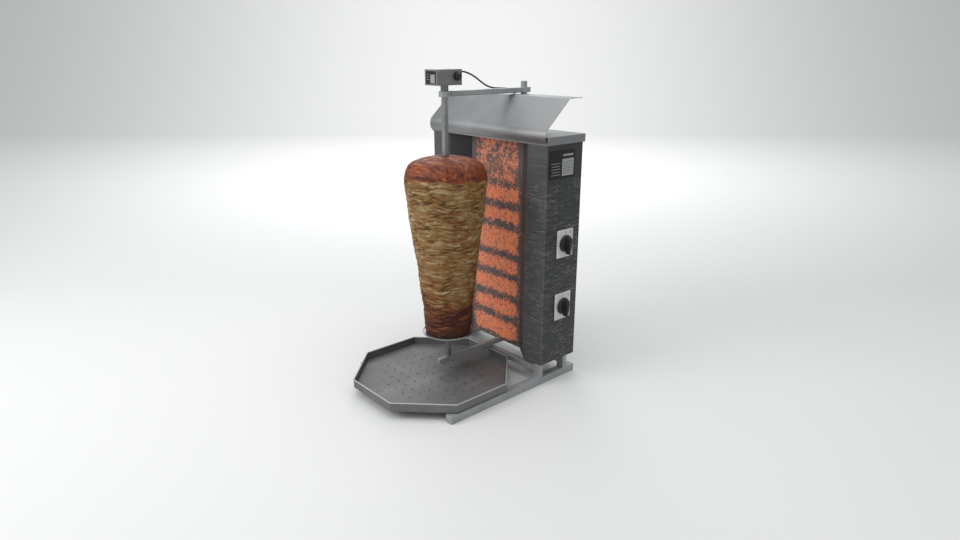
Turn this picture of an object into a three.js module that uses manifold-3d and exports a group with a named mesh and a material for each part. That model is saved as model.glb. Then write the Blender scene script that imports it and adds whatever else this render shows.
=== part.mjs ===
// Vertical rotisserie broiler: a doner grill with one upright spit, a radiant
// heater cabinet behind it, a gear motor on an arm above it and a drip tray below.
// Millimetres, +Z up, -Y is the front where the cook stands.
import * as THREE from 'three';
import { mergeVertices } from 'three/addons/utils/BufferGeometryUtils.js';
import Module from 'manifold-3d';

const wasm = await Module();
wasm.setup();

// ---------------------------------------------------------------- driving dimensions
const GAP = 0.3; // clearance left wherever two pieces touch
const SHEET = 1.5; // steel sheet of the cabinet

// cabinet: x = 0 is its middle, y = 0 its front plane, z = 0 the table
const CABINET_WIDTH = 480;
const CABINET_DEPTH = 143;
const CABINET_BOTTOM = 61;
const LID_BOTTOM = 695;
const LID_TOP = 716.5;
const LID_OVERHANG = 3.5;
const LID_BACK = 149;
const COLUMN_WIDTH = 69; // flat front of each side column
const RECESS_HALF_WIDTH = 110; // glowing pane at the back of the recess
const RECESS_DEPTH = 43.5;

// spit, arms, mast, tray and base frame share one middle plane
const AXIS_X = 20;
const SPIT_Y = -164.5;
const MAST_Y = 131.3;
const MAST_RADIUS = 9.3;
const MAST_TOP = 849;

// base frame
const FRAME_HALF_WIDTH = 220;
const RAIL_WIDTH = 23;
const RAIL_HEIGHT = 22;
const RAIL_FRONT = -335.5;
const RAIL_BACK = 146.5;
const POST_WIDTH = 25;
const POST_DEPTH = 15;
const FRONT_POST_Y = -4.5;
const REAR_POST_Y = 98;
const CROSS_TUBE_BOTTOM = 35.5;
const CROSS_TUBE_TOP = 52.4;
const TUBE_WALL = 2;

// drip tray
const TRAY_Y = -222.7;
const TRAY_HALF_WIDTH = 217; // to the flat of the octagon
const TRAY_BOTTOM = RAIL_HEIGHT + GAP;
const TRAY_RIM = 49.6;
const INSERT_TOP = 26.6;
const DRAIN_PITCH = 33.8;
const DRAIN_RADIUS = 2.4;

// lower arm and bush
const LOWER_ARM_WIDTH = 13;
const LOWER_ARM_BOTTOM = CROSS_TUBE_TOP + GAP;
const LOWER_ARM_TOP = 68.4; // in front of the cabinet
const LOWER_ARM_TAIL_TOP = CABINET_BOTTOM - GAP; // where it runs under the cabinet
const LOWER_ARM_FRONT = -204;
const BUSH_RADIUS = 5;
const BUSH_FLANGE_RADIUS = 6.2;
const BUSH_BOTTOM = 53.5;
const BUSH_TOP = 69.8;

// spit
const SPIT_WIDTH = 13;
const SPIT_SHOULDER = 812;
const TANG_WIDTH = 8;
const TANG_TOP = 827;
const JOURNAL_RADIUS = 3;
const PLATE_RADIUS = 74.6;
const PLATE_BOTTOM = 149;
const PLATE_TOP = 153;
const MEAT_TOP = 660;

// upper arm
const ARM_WIDTH = 14;
const ARM_BOTTOM = 816.2;
const ARM_TOP = 831.6;
const RING_RADIUS = 15.5;

// motor box
const MOTOR_WIDTH = 52;
const MOTOR_FRONT = -208.5;
const MOTOR_BACK = -126;
const MOTOR_BOTTOM = 846.5;
const MOTOR_TOP = 886.5;
const MOTOR_SEAM = 870.3;
const MOTOR_WALL = 1.6;
const GEAR_MODULE = 1;
const GEAR_TEETH = 33;
const PINION_TEETH = 11;
const GEAR_BOTTOM = 852;
const GEAR_TOP = 858;

// controls on the right side
const CONTROL_Y = 82;
const CONTROL_HEIGHTS = { upper: 416.5, lower: 229 };
const BEZEL_WIDTH = 65;
const BEZEL_HEIGHT = 80;
const BEZEL_THICKNESS = 3;
const KNOB_RADIUS = 24;

// motor cord, from the strain relief of the motor to the gland on the lid
const CORD_RADIUS = 2.3;
const CORD_ROUTE = [
  [20, -105.5, 879.5], [20, -100, 879.1], [20, -93, 877.8], [19.8, -84, 875.4], [19.4, -73, 871.6],
  [18.6, -62, 867], [17.4, -51, 861.7], [15.8, -40, 855.8], [13.8, -29, 850], [11.4, -18, 844.8],
  [8.8, -7, 840.4], [6, 5, 836.6], [3.2, 18, 833.8], [0.8, 32, 831.6], [-1.2, 47, 830.4],
  [-2.6, 62, 829.6], [-3.4, 77, 828.8], [-3.8, 90, 827.6], [-4, 101, 825.2], [-4, 110.5, 820.8],
  [-4, 117.6, 814.4], [-4, 121.8, 806.6], [-4, 123.6, 797], [-4, 124, 786], [-4, 124, 772],
  [-4, 124, 757], [-4, 124, 742], [-4, 124, 731.5],
];

// the object's own origin: middle of its footprint, on the table
const ORIGIN_X = 13.25;
const ORIGIN_Y = -140.3;

// ---------------------------------------------------------------- materials
const steel = { color: 0x8c8e90, roughness: 0.42, metalness: 0.9 };
const brightSteel = { color: 0xb0b2b4, roughness: 0.32, metalness: 0.95 };
const framePaint = { color: 0x9a9c9c, roughness: 0.5, metalness: 0.6 };
const blackPlastic = { color: 0x1c1c1d, roughness: 0.45, metalness: 0 };
const cordRubber = { color: 0x161616, roughness: 0.6, metalness: 0 };
const motorPaint = { color: 0xa4a6a7, roughness: 0.5, metalness: 0.5 };
const labelPlastic = { color: 0x202224, roughness: 0.5, metalness: 0 };
const bezelMetal = { color: 0xbfc0be, roughness: 0.4, metalness: 0.5 };
const glowingGlass = { color: 0xd0603a, roughness: 0.3, metalness: 0 };
const ceramicFibre = { color: 0xd9d4c8, roughness: 0.95, metalness: 0 };
const heaterAlloy = { color: 0x4a4644, roughness: 0.7, metalness: 0.7 };
const bronze = { color: 0xa87f45, roughness: 0.4, metalness: 0.9 };
const gearBrass = { color: 0xc0a060, roughness: 0.35, metalness: 0.9 };
const roastMeat = { color: 0x9a6336, roughness: 0.6, metalness: 0 };

const broiler = new THREE.Group();
broiler.position.set(-ORIGIN_X, -ORIGIN_Y, 0);

function piece(name, geometry, look) {
  const mesh = new THREE.Mesh(geometry, new THREE.MeshStandardMaterial(look));
  mesh.name = name;
  broiler.add(mesh);
  return mesh;
}

// ---------------------------------------------------------------- shape helpers
function box(x0, x1, y0, y1, z0, z1) {
  const geometry = new THREE.BoxGeometry(x1 - x0, y1 - y0, z1 - z0);
  geometry.translate((x0 + x1) / 2, (y0 + y1) / 2, (z0 + z1) / 2);
  return geometry;
}

function outline(points, holes = []) {
  const shape = new THREE.Shape(points.map(([a, b]) => new THREE.Vector2(a, b)));
  for (const hole of holes) {
    shape.holes.push(new THREE.Path(hole.map(([a, b]) => new THREE.Vector2(a, b))));
  }
  return shape;
}

// outline in X and Y, raised from z0 to z1
function raise(points, z0, z1, holes = []) {
  const settings = { depth: z1 - z0, bevelEnabled: false };
  const geometry = new THREE.ExtrudeGeometry(outline(points, holes), settings);
  geometry.translate(0, 0, z0);
  return geometry;
}

// outline in Y and Z, carried along X from x0 to x1
function alongX(points, x0, x1) {
  const geometry = raise(points, x0, x1);
  const axes = [new THREE.Vector3(0, 1, 0), new THREE.Vector3(0, 0, 1), new THREE.Vector3(1, 0, 0)];
  return geometry.applyMatrix4(new THREE.Matrix4().makeBasis(...axes));
}

// outline in X and Z, carried along Y from y0 to y1
function alongY(points, y0, y1, holes = []) {
  const geometry = raise(points, -y1, -y0, holes);
  return geometry.rotateX(Math.PI / 2);
}

function ringPoints(radius, count, cx = 0, cy = 0, turn = 0) {
  return Array.from({ length: count }, (_, i) => {
    const angle = turn + (i * 2 * Math.PI) / count;
    return [cx + radius * Math.cos(angle), cy + radius * Math.sin(angle)];
  });
}

// turned piece about a vertical axis; profile is [radius, z] and starts and ends on the axis or closes
function turned(profile, segments, x = 0, y = 0, turn = 0) {
  const points = profile.map(([r, z]) => new THREE.Vector2(r, z));
  const geometry = new THREE.LatheGeometry(points, segments, turn);
  geometry.rotateX(Math.PI / 2);
  return geometry.translate(x, y, 0);
}

function disc(radius, z0, z1, segments, x = 0, y = 0) {
  return turned([[0, z0], [radius, z0], [radius, z1], [0, z1]], segments, x, y);
}

function sleeve(inner, outer, z0, z1, segments, x = 0, y = 0) {
  const profile = [[inner, z0], [outer, z0], [outer, z1], [inner, z1], [inner, z0]];
  return turned(profile, segments, x, y);
}

// turn a piece drawn about the Z axis so that its Z points along +X or +Y, then place it
const layAlongX = (geometry, x, y, z) => geometry.rotateY(Math.PI / 2).translate(x, y, z);
const layAlongY = (geometry, x, y, z) => geometry.rotateX(-Math.PI / 2).translate(x, y, z);

function tubeAlong(points, radius, sides, steps) {
  const curve = new THREE.CatmullRomCurve3(points.map((p) => new THREE.Vector3(...p)));
  const section = outline(ringPoints(radius, sides));
  return new THREE.ExtrudeGeometry(section, { steps, extrudePath: curve, bevelEnabled: false });
}

// ---------------------------------------------------------------- booleans
function toSolid(geometry) {
  const bare = geometry.clone();
  bare.deleteAttribute('normal');
  bare.deleteAttribute('uv');
  const merged = mergeVertices(bare, 1e-4);
  const mesh = new wasm.Mesh({
    numProp: 3,
    vertProperties: new Float32Array(merged.attributes.position.array),
    triVerts: new Uint32Array(merged.index.array),
  });
  return new wasm.Manifold(mesh);
}

function toGeometry(solid) {
  const mesh = solid.getMesh();
  const geometry = new THREE.BufferGeometry();
  geometry.setAttribute('position', new THREE.BufferAttribute(mesh.vertProperties, 3));
  geometry.setIndex(new THREE.BufferAttribute(mesh.triVerts, 1));
  return geometry;
}

function cut(body, ...tools) {
  return toGeometry(tools.reduce((solid, tool) => solid.subtract(toSolid(tool)), toSolid(body)));
}

function join(body, ...others) {
  return toGeometry(others.reduce((solid, other) => solid.add(toSolid(other)), toSolid(body)));
}

// offset an open path to its left by a distance, with mitred corners
function offsetPath(points, distance) {
  return points.map((point, i) => {
    const before = points[Math.max(i - 1, 0)];
    const after = points[Math.min(i + 1, points.length - 1)];
    const into = new THREE.Vector2(point[0] - before[0], point[1] - before[1]).normalize();
    const out = new THREE.Vector2(after[0] - point[0], after[1] - point[1]).normalize();
    if (i === 0) into.copy(out);
    if (i === points.length - 1) out.copy(into);
    const normal = new THREE.Vector2(-into.y - out.y, into.x + out.x).normalize();
    const scale = distance / (normal.x * -into.y + normal.y * into.x);
    return [point[0] + normal.x * scale, point[1] + normal.y * scale];
  });
}

// closed outline of a folded sheet, from its outer path and its thickness
const foldedSheet = (path, thickness) => [...path, ...offsetPath(path, thickness).reverse()];
const mirrorX = (points) => points.map(([x, y]) => [-x, y]).reverse();

// ---------------------------------------------------------------- base frame
const FRAME_LEFT = AXIS_X - FRAME_HALF_WIDTH;
const FRAME_RIGHT = AXIS_X + FRAME_HALF_WIDTH;

function baseRail(x0) {
  const x1 = x0 + RAIL_WIDTH;
  const outer = box(x0, x1, RAIL_FRONT, RAIL_BACK, 0, RAIL_HEIGHT);
  const hollow = box(
    x0 + TUBE_WALL, x1 - TUBE_WALL,
    RAIL_FRONT + TUBE_WALL, RAIL_BACK - TUBE_WALL,
    TUBE_WALL, RAIL_HEIGHT - TUBE_WALL,
  );
  const drain = disc(4, -1, TUBE_WALL + 1, 8, (x0 + x1) / 2, RAIL_BACK - 20);
  return cut(outer, hollow, drain);
}

function crossTube(y0) {
  const x0 = FRAME_LEFT + POST_WIDTH + GAP;
  const x1 = FRAME_RIGHT - POST_WIDTH - GAP;
  const y1 = y0 + POST_DEPTH;
  const outer = box(x0, x1, y0, y1, CROSS_TUBE_BOTTOM, CROSS_TUBE_TOP);
  const hollow = box(
    x0 - 1, x1 + 1, y0 + TUBE_WALL, y1 - TUBE_WALL,
    CROSS_TUBE_BOTTOM + TUBE_WALL, CROSS_TUBE_TOP - TUBE_WALL,
  );
  return cut(outer, hollow);
}

function addBaseFrame() {
  piece('rail_left', baseRail(FRAME_LEFT), framePaint);
  piece('rail_right', baseRail(FRAME_RIGHT - RAIL_WIDTH), framePaint);
  piece('cross_tube_front', crossTube(FRONT_POST_Y + 2.5), framePaint);
  piece('cross_tube_rear', crossTube(REAR_POST_Y), framePaint);
  const corners = { left: FRAME_LEFT, right: FRAME_RIGHT - POST_WIDTH };
  for (const [side, x0] of Object.entries(corners)) {
    for (const [end, y0] of Object.entries({ front: FRONT_POST_Y, rear: REAR_POST_Y })) {
      const post = box(
        x0, x0 + POST_WIDTH, y0, y0 + POST_DEPTH, RAIL_HEIGHT + GAP, CABINET_BOTTOM - GAP,
      );
      piece(`post_${end}_${side}`, post, framePaint);
    }
  }
}

// ---------------------------------------------------------------- drip tray
const OCTAGON = Math.PI / 8;
const acrossCorners = (flat) => flat / Math.cos(OCTAGON);

function addTray() {
  const wall = 1.5;
  const lip = 3;
  const flat = (r, z) => [acrossCorners(r), z];
  const pan = turned([
    [0, TRAY_BOTTOM],
    flat(TRAY_HALF_WIDTH, TRAY_BOTTOM),
    flat(TRAY_HALF_WIDTH, TRAY_RIM),
    flat(TRAY_HALF_WIDTH - lip, TRAY_RIM),
    flat(TRAY_HALF_WIDTH - lip, TRAY_RIM - 2),
    flat(TRAY_HALF_WIDTH - wall, TRAY_RIM - 2),
    flat(TRAY_HALF_WIDTH - wall, TRAY_BOTTOM + 1.2),
    [0, TRAY_BOTTOM + 1.2],
  ], 8, AXIS_X, TRAY_Y, OCTAGON);
  piece('drip_tray', pan, steel);

  const plateFlat = TRAY_HALF_WIDTH - lip - 1;
  const holes = [];
  for (let i = -4; i <= 4; i++) {
    for (let j = -4; j <= 4; j++) {
      if (Math.abs(i) + Math.abs(j) > 6) continue;
      holes.push(ringPoints(DRAIN_RADIUS, 6, i * DRAIN_PITCH, j * DRAIN_PITCH).reverse());
    }
  }
  const rimPoints = ringPoints(acrossCorners(plateFlat), 8, 0, 0, OCTAGON);
  const plate = raise(rimPoints, INSERT_TOP - 1.2, INSERT_TOP, holes);
  const foot = turned([
    flat(plateFlat - 1.5, TRAY_BOTTOM + 1.5),
    flat(plateFlat, TRAY_BOTTOM + 1.5),
    flat(plateFlat, INSERT_TOP - 0.6),
    flat(plateFlat - 1.5, INSERT_TOP - 0.6),
    flat(plateFlat - 1.5, TRAY_BOTTOM + 1.5),
  ], 8, 0, 0, OCTAGON);
  const insert = join(plate, foot).translate(AXIS_X, TRAY_Y, 0);
  piece('tray_insert', insert, steel);
}

// ---------------------------------------------------------------- lower arm, bush and spit
function square(half, cx, cy) {
  return [[cx - half, cy - half], [cx + half, cy - half], [cx + half, cy + half], [cx - half, cy + half]];
}

function addLowerBearing() {
  const half = LOWER_ARM_WIDTH / 2;
  const end = REAR_POST_Y + POST_DEPTH;
  const step = RECESS_DEPTH - 2;
  const bar = alongX([
    [LOWER_ARM_FRONT + 8, LOWER_ARM_BOTTOM], [end, LOWER_ARM_BOTTOM], [end, LOWER_ARM_TAIL_TOP],
    [step, LOWER_ARM_TAIL_TOP], [step, LOWER_ARM_TOP], [LOWER_ARM_FRONT, LOWER_ARM_TOP],
    [LOWER_ARM_FRONT, LOWER_ARM_BOTTOM + 5.5],
  ], AXIS_X - half, AXIS_X + half);
  const eye = disc(BUSH_RADIUS + GAP, LOWER_ARM_BOTTOM - 1, LOWER_ARM_TOP + 1, 16, AXIS_X, SPIT_Y);
  piece('lower_arm', cut(bar, eye), framePaint);
  const bore = JOURNAL_RADIUS + 0.4;
  const bush = turned([
    [0, BUSH_BOTTOM],
    [BUSH_RADIUS, BUSH_BOTTOM],
    [BUSH_RADIUS, LOWER_ARM_TOP + GAP],
    [BUSH_FLANGE_RADIUS, LOWER_ARM_TOP + GAP],
    [BUSH_FLANGE_RADIUS, BUSH_TOP],
    [bore, BUSH_TOP],
    [bore, BUSH_BOTTOM + 3],
    [0, BUSH_BOTTOM + 3],
  ], 16, AXIS_X, SPIT_Y);
  piece('spit_bush', bush, brightSteel);
}

function addSpit() {
  const half = SPIT_WIDTH / 2;
  const bar = raise(square(half, AXIS_X, SPIT_Y), BUSH_TOP + 2 * GAP, SPIT_SHOULDER);
  const journal = disc(JOURNAL_RADIUS, BUSH_BOTTOM + 3 + GAP, BUSH_TOP + 2, 16, AXIS_X, SPIT_Y);
  const tang = raise(square(TANG_WIDTH / 2, AXIS_X, SPIT_Y), SPIT_SHOULDER - 1, TANG_TOP);
  piece('spit_rod', join(bar, journal, tang), brightSteel);

  const boreHalf = half + GAP;
  const bore = square(boreHalf, AXIS_X, SPIT_Y).reverse();
  const plate = raise(ringPoints(PLATE_RADIUS, 40, AXIS_X, SPIT_Y), PLATE_BOTTOM, PLATE_TOP, [bore]);
  piece('meat_plate', plate, brightSteel);

  const hubTop = PLATE_BOTTOM - GAP;
  const hubBottom = hubTop - 18;
  const hub = raise(ringPoints(14, 20, AXIS_X, SPIT_Y), hubBottom, hubTop, [bore]);
  const screwHeight = (hubTop + hubBottom) / 2;
  const tapping = layAlongY(disc(2.8, 0, 20, 10), AXIS_X, SPIT_Y + boreHalf - 1, screwHeight);
  piece('plate_hub', cut(hub, tapping), brightSteel);
  const screw = turned([
    [0, 0], [2.5, 0], [2.5, 13], [6, 13], [7, 15], [7, 19], [6, 20], [0, 20],
  ], 12);
  piece('plate_thumb_screw', layAlongY(screw, AXIS_X, SPIT_Y + boreHalf + 0.2, screwHeight), brightSteel);

  // stacked meat slices: nearly straight cone with a rounded crown, pierced by the spit
  const hole = half * Math.SQRT2 + GAP;
  const side = [
    [63.5, PLATE_TOP + GAP], [65.5, 184], [70.7, 243], [77.5, 300], [85, 360],
    [93.5, 430], [102.5, 500], [109, 558], [114, 604],
  ];
  const crown = [[110.5, 620], [104, 634], [91, 645], [75, 652], [48, 657.5], [22, MEAT_TOP]];
  const profile = [[hole, PLATE_TOP + GAP], ...side, ...crown, [hole, MEAT_TOP], [hole, PLATE_TOP + GAP]];
  piece('meat_cone', turned(profile, 32, AXIS_X, SPIT_Y), roastMeat);
}

// ---------------------------------------------------------------- mast and upper arm
function addMast() {
  const mast = disc(MAST_RADIUS, CABINET_BOTTOM + SHEET + 1, MAST_TOP, 20, AXIS_X, MAST_Y);
  piece('mast', mast, framePaint);
  const cradle = box(
    AXIS_X - 18, AXIS_X + 18, MAST_Y - 22, MAST_Y, CABINET_BOTTOM + SHEET + GAP, 96,
  );
  const seat = disc(MAST_RADIUS + GAP, 50, 110, 20, AXIS_X, MAST_Y);
  piece('mast_cradle', cut(cradle, seat), framePaint);
  const collar = sleeve(MAST_RADIUS + GAP, 17, LID_TOP + GAP, LID_TOP + 12, 20, AXIS_X, MAST_Y);
  piece('mast_collar', collar, framePaint);
}

function addUpperArm() {
  const half = ARM_WIDTH / 2;
  const bar = box(AXIS_X - half, AXIS_X + half, SPIT_Y, MAST_Y + 20.7, ARM_BOTTOM + 0.6, ARM_TOP - 0.4);
  const ring = disc(RING_RADIUS, ARM_BOTTOM, ARM_TOP, 24, AXIS_X, SPIT_Y);
  const hub = disc(15, ARM_BOTTOM, ARM_TOP, 24, AXIS_X, MAST_Y);
  const ringBore = disc(11.5, ARM_BOTTOM - 1, ARM_TOP + 1, 24, AXIS_X, SPIT_Y);
  const hubBore = disc(MAST_RADIUS + GAP, ARM_BOTTOM - 1, ARM_TOP + 1, 20, AXIS_X, MAST_Y);
  const middle = (ARM_BOTTOM + ARM_TOP) / 2;
  const tapping = layAlongY(disc(2.8, 0, 30, 10), AXIS_X, MAST_Y + 5, middle);
  piece('upper_arm', cut(join(bar, ring, hub), ringBore, hubBore, tapping), framePaint);

  const screw = turned([[0, 0], [2.5, 0], [2.5, 10.4], [0, 10.4]], 12);
  const clamp = layAlongY(screw, AXIS_X, MAST_Y + MAST_RADIUS + GAP + 0.2, middle);
  piece('arm_clamp_screw', clamp, brightSteel);

  const bush = sleeve(9.2, 11.2, ARM_BOTTOM, ARM_TOP, 24, AXIS_X, SPIT_Y);
  piece('arm_bush', bush, bronze);
  const neck = sleeve(9.2, 10.5, ARM_TOP + GAP, MOTOR_BOTTOM - GAP, 24, AXIS_X, SPIT_Y);
  piece('motor_neck', neck, motorPaint);

  // drive coupling: square socket below for the tang, round shaft above for the gear
  const socketTop = TANG_TOP + 2;
  const shoulder = MOTOR_BOTTOM + 2.4;
  const coupling = turned([
    [0, SPIT_SHOULDER + GAP], [8.6, SPIT_SHOULDER + GAP], [8.6, shoulder],
    [5, shoulder], [5, GEAR_TOP + 2], [0, GEAR_TOP + 2],
  ], 24, AXIS_X, SPIT_Y);
  const socket = raise(square(TANG_WIDTH / 2 + GAP, AXIS_X, SPIT_Y), SPIT_SHOULDER - 1, socketTop);
  piece('drive_coupling', cut(coupling, socket), brightSteel);
}

// ---------------------------------------------------------------- motor
// straight-flanked spur gear outline; the first tooth points along the given angle
function gearOutline(teeth, firstTooth, cx, cy) {
  const pitchRadius = (teeth * GEAR_MODULE) / 2;
  const root = pitchRadius - 1.2 * GEAR_MODULE;
  const tip = pitchRadius + 0.85 * GEAR_MODULE;
  const points = [];
  for (let i = 0; i < teeth; i++) {
    const middle = firstTooth + (i * 2 * Math.PI) / teeth;
    const atRoot = 0.95 / root;
    const atTip = 0.38 / tip;
    for (const [radius, angle] of [[root, -atRoot], [tip, -atTip], [tip, atTip], [root, atRoot]]) {
      const turn = middle + angle;
      points.push([cx + radius * Math.cos(turn), cy + radius * Math.sin(turn)]);
    }
  }
  return points;
}

function addMotorDrive() {
  const pinionY = SPIT_Y - ((GEAR_TEETH + PINION_TEETH) * GEAR_MODULE) / 2;
  const towardsPinion = -Math.PI / 2;
  const bore = ringPoints(5.3, 24, AXIS_X, SPIT_Y).reverse();
  const gear = gearOutline(GEAR_TEETH, towardsPinion, AXIS_X, SPIT_Y);
  piece('output_gear', raise(gear, GEAR_BOTTOM, GEAR_TOP, [bore]), gearBrass);
  const halfTooth = Math.PI / PINION_TEETH;
  const pinion = raise(
    gearOutline(PINION_TEETH, -towardsPinion + halfTooth, AXIS_X, pinionY), GEAR_BOTTOM, GEAR_TOP,
  );
  const canBottom = GEAR_TOP + 4;
  const pinionShaft = disc(2, GEAR_TOP - 1, canBottom + 7, 12, AXIS_X, pinionY);
  piece('motor_pinion', join(pinion, pinionShaft), gearBrass);
  const can = disc(18.5, canBottom, MOTOR_TOP - MOTOR_WALL - GAP, 28, AXIS_X, pinionY);
  const shaftHole = disc(2.4, canBottom - 1, canBottom + 8, 12, AXIS_X, pinionY);
  piece('synchronous_motor', cut(can, shaftHole), steel);
}

function addMotorHousing() {
  const x0 = AXIS_X - MOTOR_WIDTH / 2;
  const x1 = AXIS_X + MOTOR_WIDTH / 2;
  const inner = [
    x0 + MOTOR_WALL, x1 - MOTOR_WALL, MOTOR_FRONT + MOTOR_WALL, MOTOR_BACK - MOTOR_WALL,
  ];
  const switchY = MOTOR_BACK - 17;
  const switchZ = MOTOR_SEAM - 0.8;
  const switchHole = layAlongX(disc(4, -5, 5, 12), x1, switchY, switchZ);
  const shaftHole = disc(9, MOTOR_BOTTOM - 1, MOTOR_BOTTOM + 5, 24, AXIS_X, SPIT_Y);
  const base = cut(
    box(x0, x1, MOTOR_FRONT, MOTOR_BACK, MOTOR_BOTTOM, MOTOR_SEAM - GAP / 2),
    box(...inner, MOTOR_BOTTOM + 2, MOTOR_SEAM + 1), shaftHole, switchHole,
  );
  piece('motor_housing_base', base, motorPaint);

  const glandZ = 879.5;
  const glandHole = layAlongY(disc(3.4, -5, 5, 12), AXIS_X, MOTOR_BACK, glandZ);
  const screwY = MOTOR_FRONT + 5;
  const screwZ = MOTOR_TOP - 4.5;
  const screwHoles = [x0, x1].map((x) => layAlongX(disc(1.7, -3, 3, 8), x, screwY, screwZ));
  const cover = cut(
    box(x0, x1, MOTOR_FRONT, MOTOR_BACK, MOTOR_SEAM + GAP / 2, MOTOR_TOP),
    box(...inner, MOTOR_SEAM - 1, MOTOR_TOP - MOTOR_WALL), switchHole, glandHole, ...screwHoles,
  );
  piece('motor_housing_cover', cover, motorPaint);

  const coverScrew = () => turned([[0, -3], [1.4, -3], [1.4, GAP], [2.4, GAP], [2, 1.6], [0, 1.6]], 10);
  piece('cover_screw_right', layAlongX(coverScrew(), x1, screwY, screwZ), brightSteel);
  piece('cover_screw_left', layAlongX(coverScrew().rotateY(Math.PI), x0, screwY, screwZ), brightSteel);

  const badge = box(
    AXIS_X - 20, AXIS_X + 20, MOTOR_FRONT - GAP - 0.8, MOTOR_FRONT - GAP,
    MOTOR_BOTTOM + 4, MOTOR_TOP - 4,
  );
  piece('motor_label_plate', badge, labelPlastic);

  const switchBox = box(x1 - 16, x1 - MOTOR_WALL - GAP, switchY - 9, switchY + 9, 859.6, 880);
  const spindleHole = layAlongX(disc(2.4, -12, 2, 10), x1, switchY, switchZ);
  piece('motor_switch', cut(switchBox, spindleHole), blackPlastic);
  const knob = turned([
    [0, -9], [2, -9], [2, GAP], [11.5, GAP], [11.5, 3], [10, 8.5], [8.8, 9.5], [0, 9.5],
  ], 20);
  piece('motor_switch_knob', layAlongX(knob, x1, switchY, switchZ), blackPlastic);

  const relief = turned([
    [0, -4], [5, -4], [5, -MOTOR_WALL - GAP], [3, -MOTOR_WALL - GAP], [3, GAP], [5, GAP],
    [5, 2.5], [3, 20], [0, 20],
  ], 12);
  piece('motor_strain_relief', layAlongY(relief, AXIS_X, MOTOR_BACK, glandZ), blackPlastic);
}

function addMotorCord() {
  piece('motor_cord', tubeAlong(CORD_ROUTE, CORD_RADIUS, 8, 42), cordRubber);
  const [x, y, z] = CORD_ROUTE[CORD_ROUTE.length - 1];
  const profile = [
    [0, LID_TOP - SHEET - 6], [3.6, LID_TOP - SHEET - 6], [3.6, LID_TOP + GAP],
    [6, LID_TOP + GAP], [6, LID_TOP + 4], [3.2, z - GAP], [0, z - GAP],
  ];
  piece('lid_cord_gland', turned(profile, 12, x, y), blackPlastic);
}

// ---------------------------------------------------------------- heater cabinet
const HALF_WIDTH = CABINET_WIDTH / 2;
const PANEL_TOP = LID_TOP - SHEET - GAP;
const rightPath = [
  [HALF_WIDTH, CABINET_DEPTH],
  [HALF_WIDTH, 0],
  [HALF_WIDTH - COLUMN_WIDTH, 0],
  [RECESS_HALF_WIDTH, RECESS_DEPTH],
  [RECESS_HALF_WIDTH, RECESS_DEPTH + 10],
];
// the cabinet's inside lies to the right of that path as it is drawn
const rightSheet = foldedSheet(rightPath, -SHEET);

function addCasing() {
  const controlHoles = Object.values(CONTROL_HEIGHTS).map(
    (z) => layAlongX(disc(5, -4, 2, 12), HALF_WIDTH, CONTROL_Y, z),
  );
  const right = cut(raise(rightSheet, CABINET_BOTTOM, PANEL_TOP), ...controlHoles);
  piece('side_panel_right', right, steel);
  piece('side_panel_left', raise(mirrorX(rightSheet), CABINET_BOTTOM, PANEL_TOP), steel);

  // rear panel with two columns of vent slots and the mains inlet
  const half = HALF_WIDTH - SHEET - GAP;
  const bottom = CABINET_BOTTOM + SHEET + GAP;
  const back = CABINET_DEPTH - GAP;
  const slots = [];
  for (const x of [-120, 120]) {
    for (let z = 560; z <= 650; z += 18) {
      slots.push(box(x - 45, x + 45, back - SHEET - 1, back + 1, z, z + 6));
    }
  }
  const inlet = layAlongY(disc(8.3, -5, 5, 12), 180, back, 110);
  const face = box(-half, half, back - SHEET, back, bottom, PANEL_TOP);
  piece('rear_panel', cut(face, ...slots, inlet), steel);
  const gland = turned([[0, -6], [8, -6], [8, GAP], [12, GAP], [12, 4], [8, 6], [0, 6]], 12);
  piece('mains_gland', layAlongY(gland, 180, CABINET_DEPTH - GAP, 110), blackPlastic);

  // bottom plate follows the folded sheets on their inside
  const inside = offsetPath(rightPath, -SHEET - GAP);
  const [rearCorner, frontCorner, columnCorner, paneCorner] = inside;
  const halfFloor = [
    [RECESS_HALF_WIDTH - GAP, RECESS_DEPTH + GAP],
    [RECESS_HALF_WIDTH - GAP, RECESS_DEPTH + 12],
    [paneCorner[0], RECESS_DEPTH + 12],
    paneCorner, columnCorner, frontCorner, rearCorner,
  ];
  const floor = [...halfFloor, ...mirrorX(halfFloor)];
  piece('bottom_plate', raise(floor, CABINET_BOTTOM, CABINET_BOTTOM + SHEET), steel);
}

function addLid() {
  const x = HALF_WIDTH + LID_OVERHANG;
  const front = -LID_OVERHANG;
  const shell = box(-x, x, front, LID_BACK, LID_BOTTOM, LID_TOP);
  const hollow = box(
    -x + SHEET, x - SHEET, front + SHEET, LID_BACK - SHEET, LID_BOTTOM - 1, LID_TOP - SHEET,
  );
  const mastHole = disc(MAST_RADIUS + GAP, LID_BOTTOM, LID_TOP + 1, 20, AXIS_X, MAST_Y);
  const cordEnd = CORD_ROUTE[CORD_ROUTE.length - 1];
  const cordHole = disc(4, LID_BOTTOM, LID_TOP + 1, 12, cordEnd[0], cordEnd[1]);
  // soffit closes the top of the recess
  const reach = HALF_WIDTH - COLUMN_WIDTH - 1;
  const narrow = RECESS_HALF_WIDTH - 1;
  const soffit = raise(
    [[-reach, front + 1], [reach, front + 1], [narrow, RECESS_DEPTH - 1], [-narrow, RECESS_DEPTH - 1]],
    LID_BOTTOM, LID_BOTTOM + SHEET,
  );
  piece('top_lid', join(cut(shell, hollow, mastHole, cordHole), soffit), steel);
}

// hood sheet: a rolled nose in front of the lid, a slope back over it and a flat flange
const NOSE_CENTRE = [16.2, 718];
const NOSE_RADIUS = 28.5;
const SLOPE_TOP = [79, 812.7];
const FLANGE_BACK = [130, 813.2];
const HOOD_SHEET = 1.2;

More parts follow.
